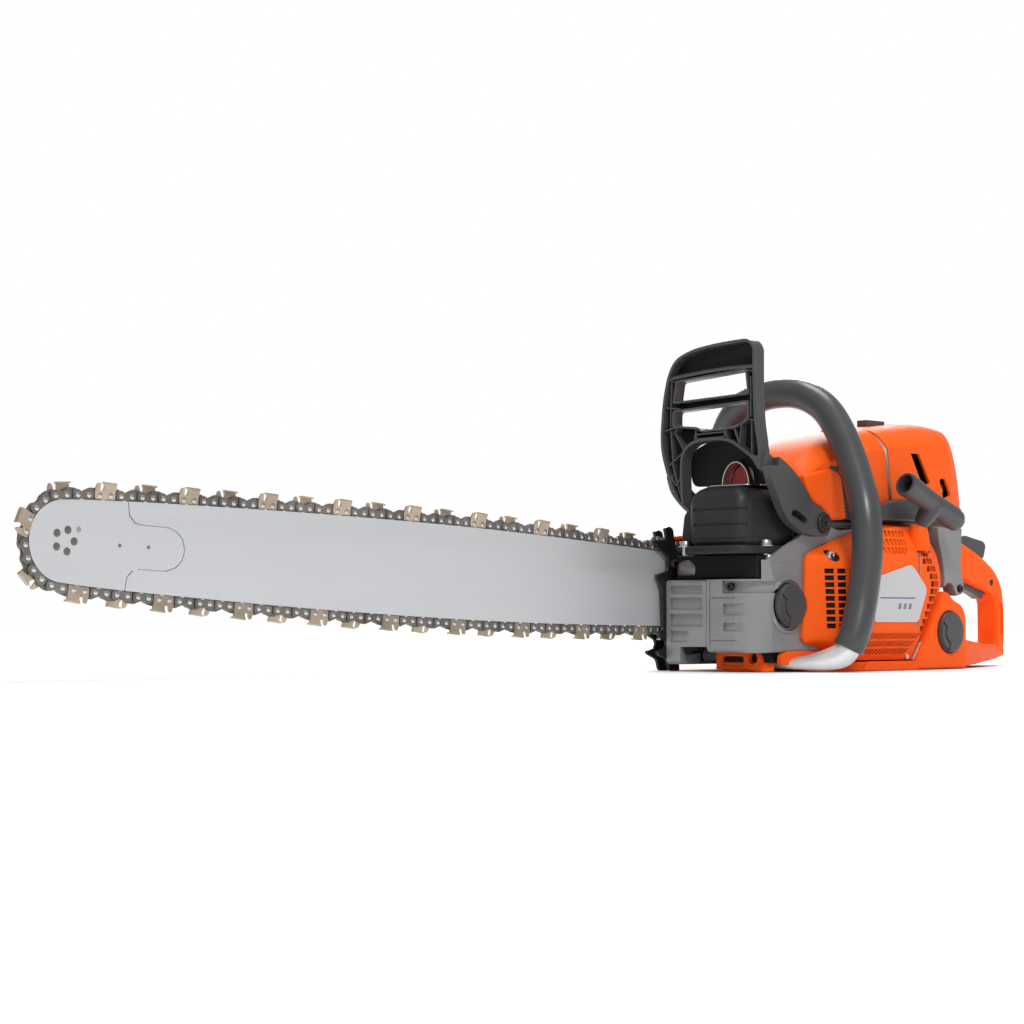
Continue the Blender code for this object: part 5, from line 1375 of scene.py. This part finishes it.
def bar_nuts():
    for name, s, node in (("nut_rear", STUDS[0], "bar_nut_rear"), ("nut_front", STUDS[1], "bar_nut_front")):
        centre = bar_point(s, 0)
        flange = turned(name + "_flange", centre, [(9.6, 84.4), (9.6, 85.6), (8.2, 86.8)], "Y", STEEL, 32)
        nut = turned(name, centre, [(7.4, 86.2), (8.3, 87.4), (8.3, 92.6), (7.2, 93.4)], "Y", STEEL, 6)
        both = gather(name, [nut, flange])
        cut(both, hole(centre, 4.4, (80, 100)))
        show(soften(both, 0.2, 1), "root", "steel", node)


# Light, floor and camera

BRIGHT_WAY = (0.7137, 0.6981, 0.0577)
FLOOR_HALF = 9000


def stage_and_light():
    """White floor, a backdrop that is brightest behind the saw, and three soft lamps (metres, watts)."""
    corners = rect(-FLOOR_HALF, FLOOR_HALF, -FLOOR_HALF, FLOOR_HALF)
    floor = piece("floor", [(x, y, -0.4) for x, y in corners], [(0, 1, 2, 3)], FLOOR)
    light_far_floor()
    world = bpy.data.worlds.new("studio")
    world.use_nodes = True
    tree = world.node_tree
    back = tree.nodes["Background"]
    set_inputs(back, {"Color": (1.0, 1.0, 1.0, 1.0)})
    ways = tree.nodes.new("ShaderNodeTexCoord")
    toward = tree.nodes.new("ShaderNodeVectorMath")
    toward.operation = "DOT_PRODUCT"
    toward.inputs[1].default_value = BRIGHT_WAY
    glow = tree.nodes.new("ShaderNodeMapRange")
    set_inputs(glow, {"From Min": 0.80, "From Max": 0.94, "To Min": 0.42, "To Max": 1.0})
    wire(tree, ways, "Generated", toward, 0)
    wire(tree, toward, "Value", glow, "Value")
    wire(tree, glow, "Result", back, "Strength")
    bpy.context.scene.world = world
    bpy.context.scene.view_settings.view_transform = "Standard"
    for name, spot, aim, size, power in (
            ("key", (-1.6, -2.2, 2.4), (0.0, 0.0, 0.1), 1.0, 64.0),
            ("top", (0.3, 0.2, 2.8), (-0.2, 0.0, 0.0), 1.2, 36.0),
            ("rim", (1.8, 1.6, 1.6), (-0.1, 0.0, 0.1), 1.2, 44.0)):
        data = bpy.data.lights.new(name, "AREA")
        data.shape = "DISK"
        data.size = size
        data.energy = power
        lamp = bpy.data.objects.new(name, data)
        lamp.location = spot
        lamp.rotation_euler = (Vector(aim) - Vector(spot)).to_track_quat("-Z", "Y").to_euler()
        bpy.context.scene.collection.objects.link(lamp)


def camera():
    """Long lens near the ground, looking slightly up, along the saw from its starter side."""
    data = bpy.data.cameras.new("camera")
    data.sensor_width = 36.0
    data.lens = 84.54
    data.clip_end = 50.0
    item = bpy.data.objects.new("camera", data)
    item.location = (-1.7936, -1.3771, 0.0460)
    item.rotation_euler = (math.radians(92.571), 0.0, math.radians(-45.628))
    bpy.context.scene.collection.objects.link(item)
    bpy.context.scene.camera = item


# Everything in order

def build():
    dress_frame()
    guide_bar()
    nose_insert()
    nose_rivets()
    saw_chain()
    hand_guard()
    pivot_bolt("pivot_head_left", -69.5, -50, "guard_pivot_left")
    pivot_bolt("pivot_head_right", 57.8, 38, "guard_pivot_right")
    muffler()
    muffler_deflector()
    spikes()
    crankcase_left()
    crankcase_right()
    starter_cover()
    starter_trim()
    label_plate()
    t_handle()
    cap_pair("oil_filler_cap", OIL_CAP, -57, "oil_filler", "oil_tab", "oil_cap", "oil_cap_tab")
    cap_pair("fuel_filler_cap", FUEL_CAP, -78, "fuel_filler", "fuel_tab", "fuel_cap", "fuel_cap_tab")
    air_filter_cover()
    cylinder_cover()
    cover_side()
    intake_housing()
    valve()
    tank_unit()
    rear_handle()
    trigger_set()
    stop_lever()
    front_handle()
    handle_clamp()
    rear_bracket()
    bellows()
    clutch_cover()
    bar_nuts()


build()
stage_and_light()
camera()
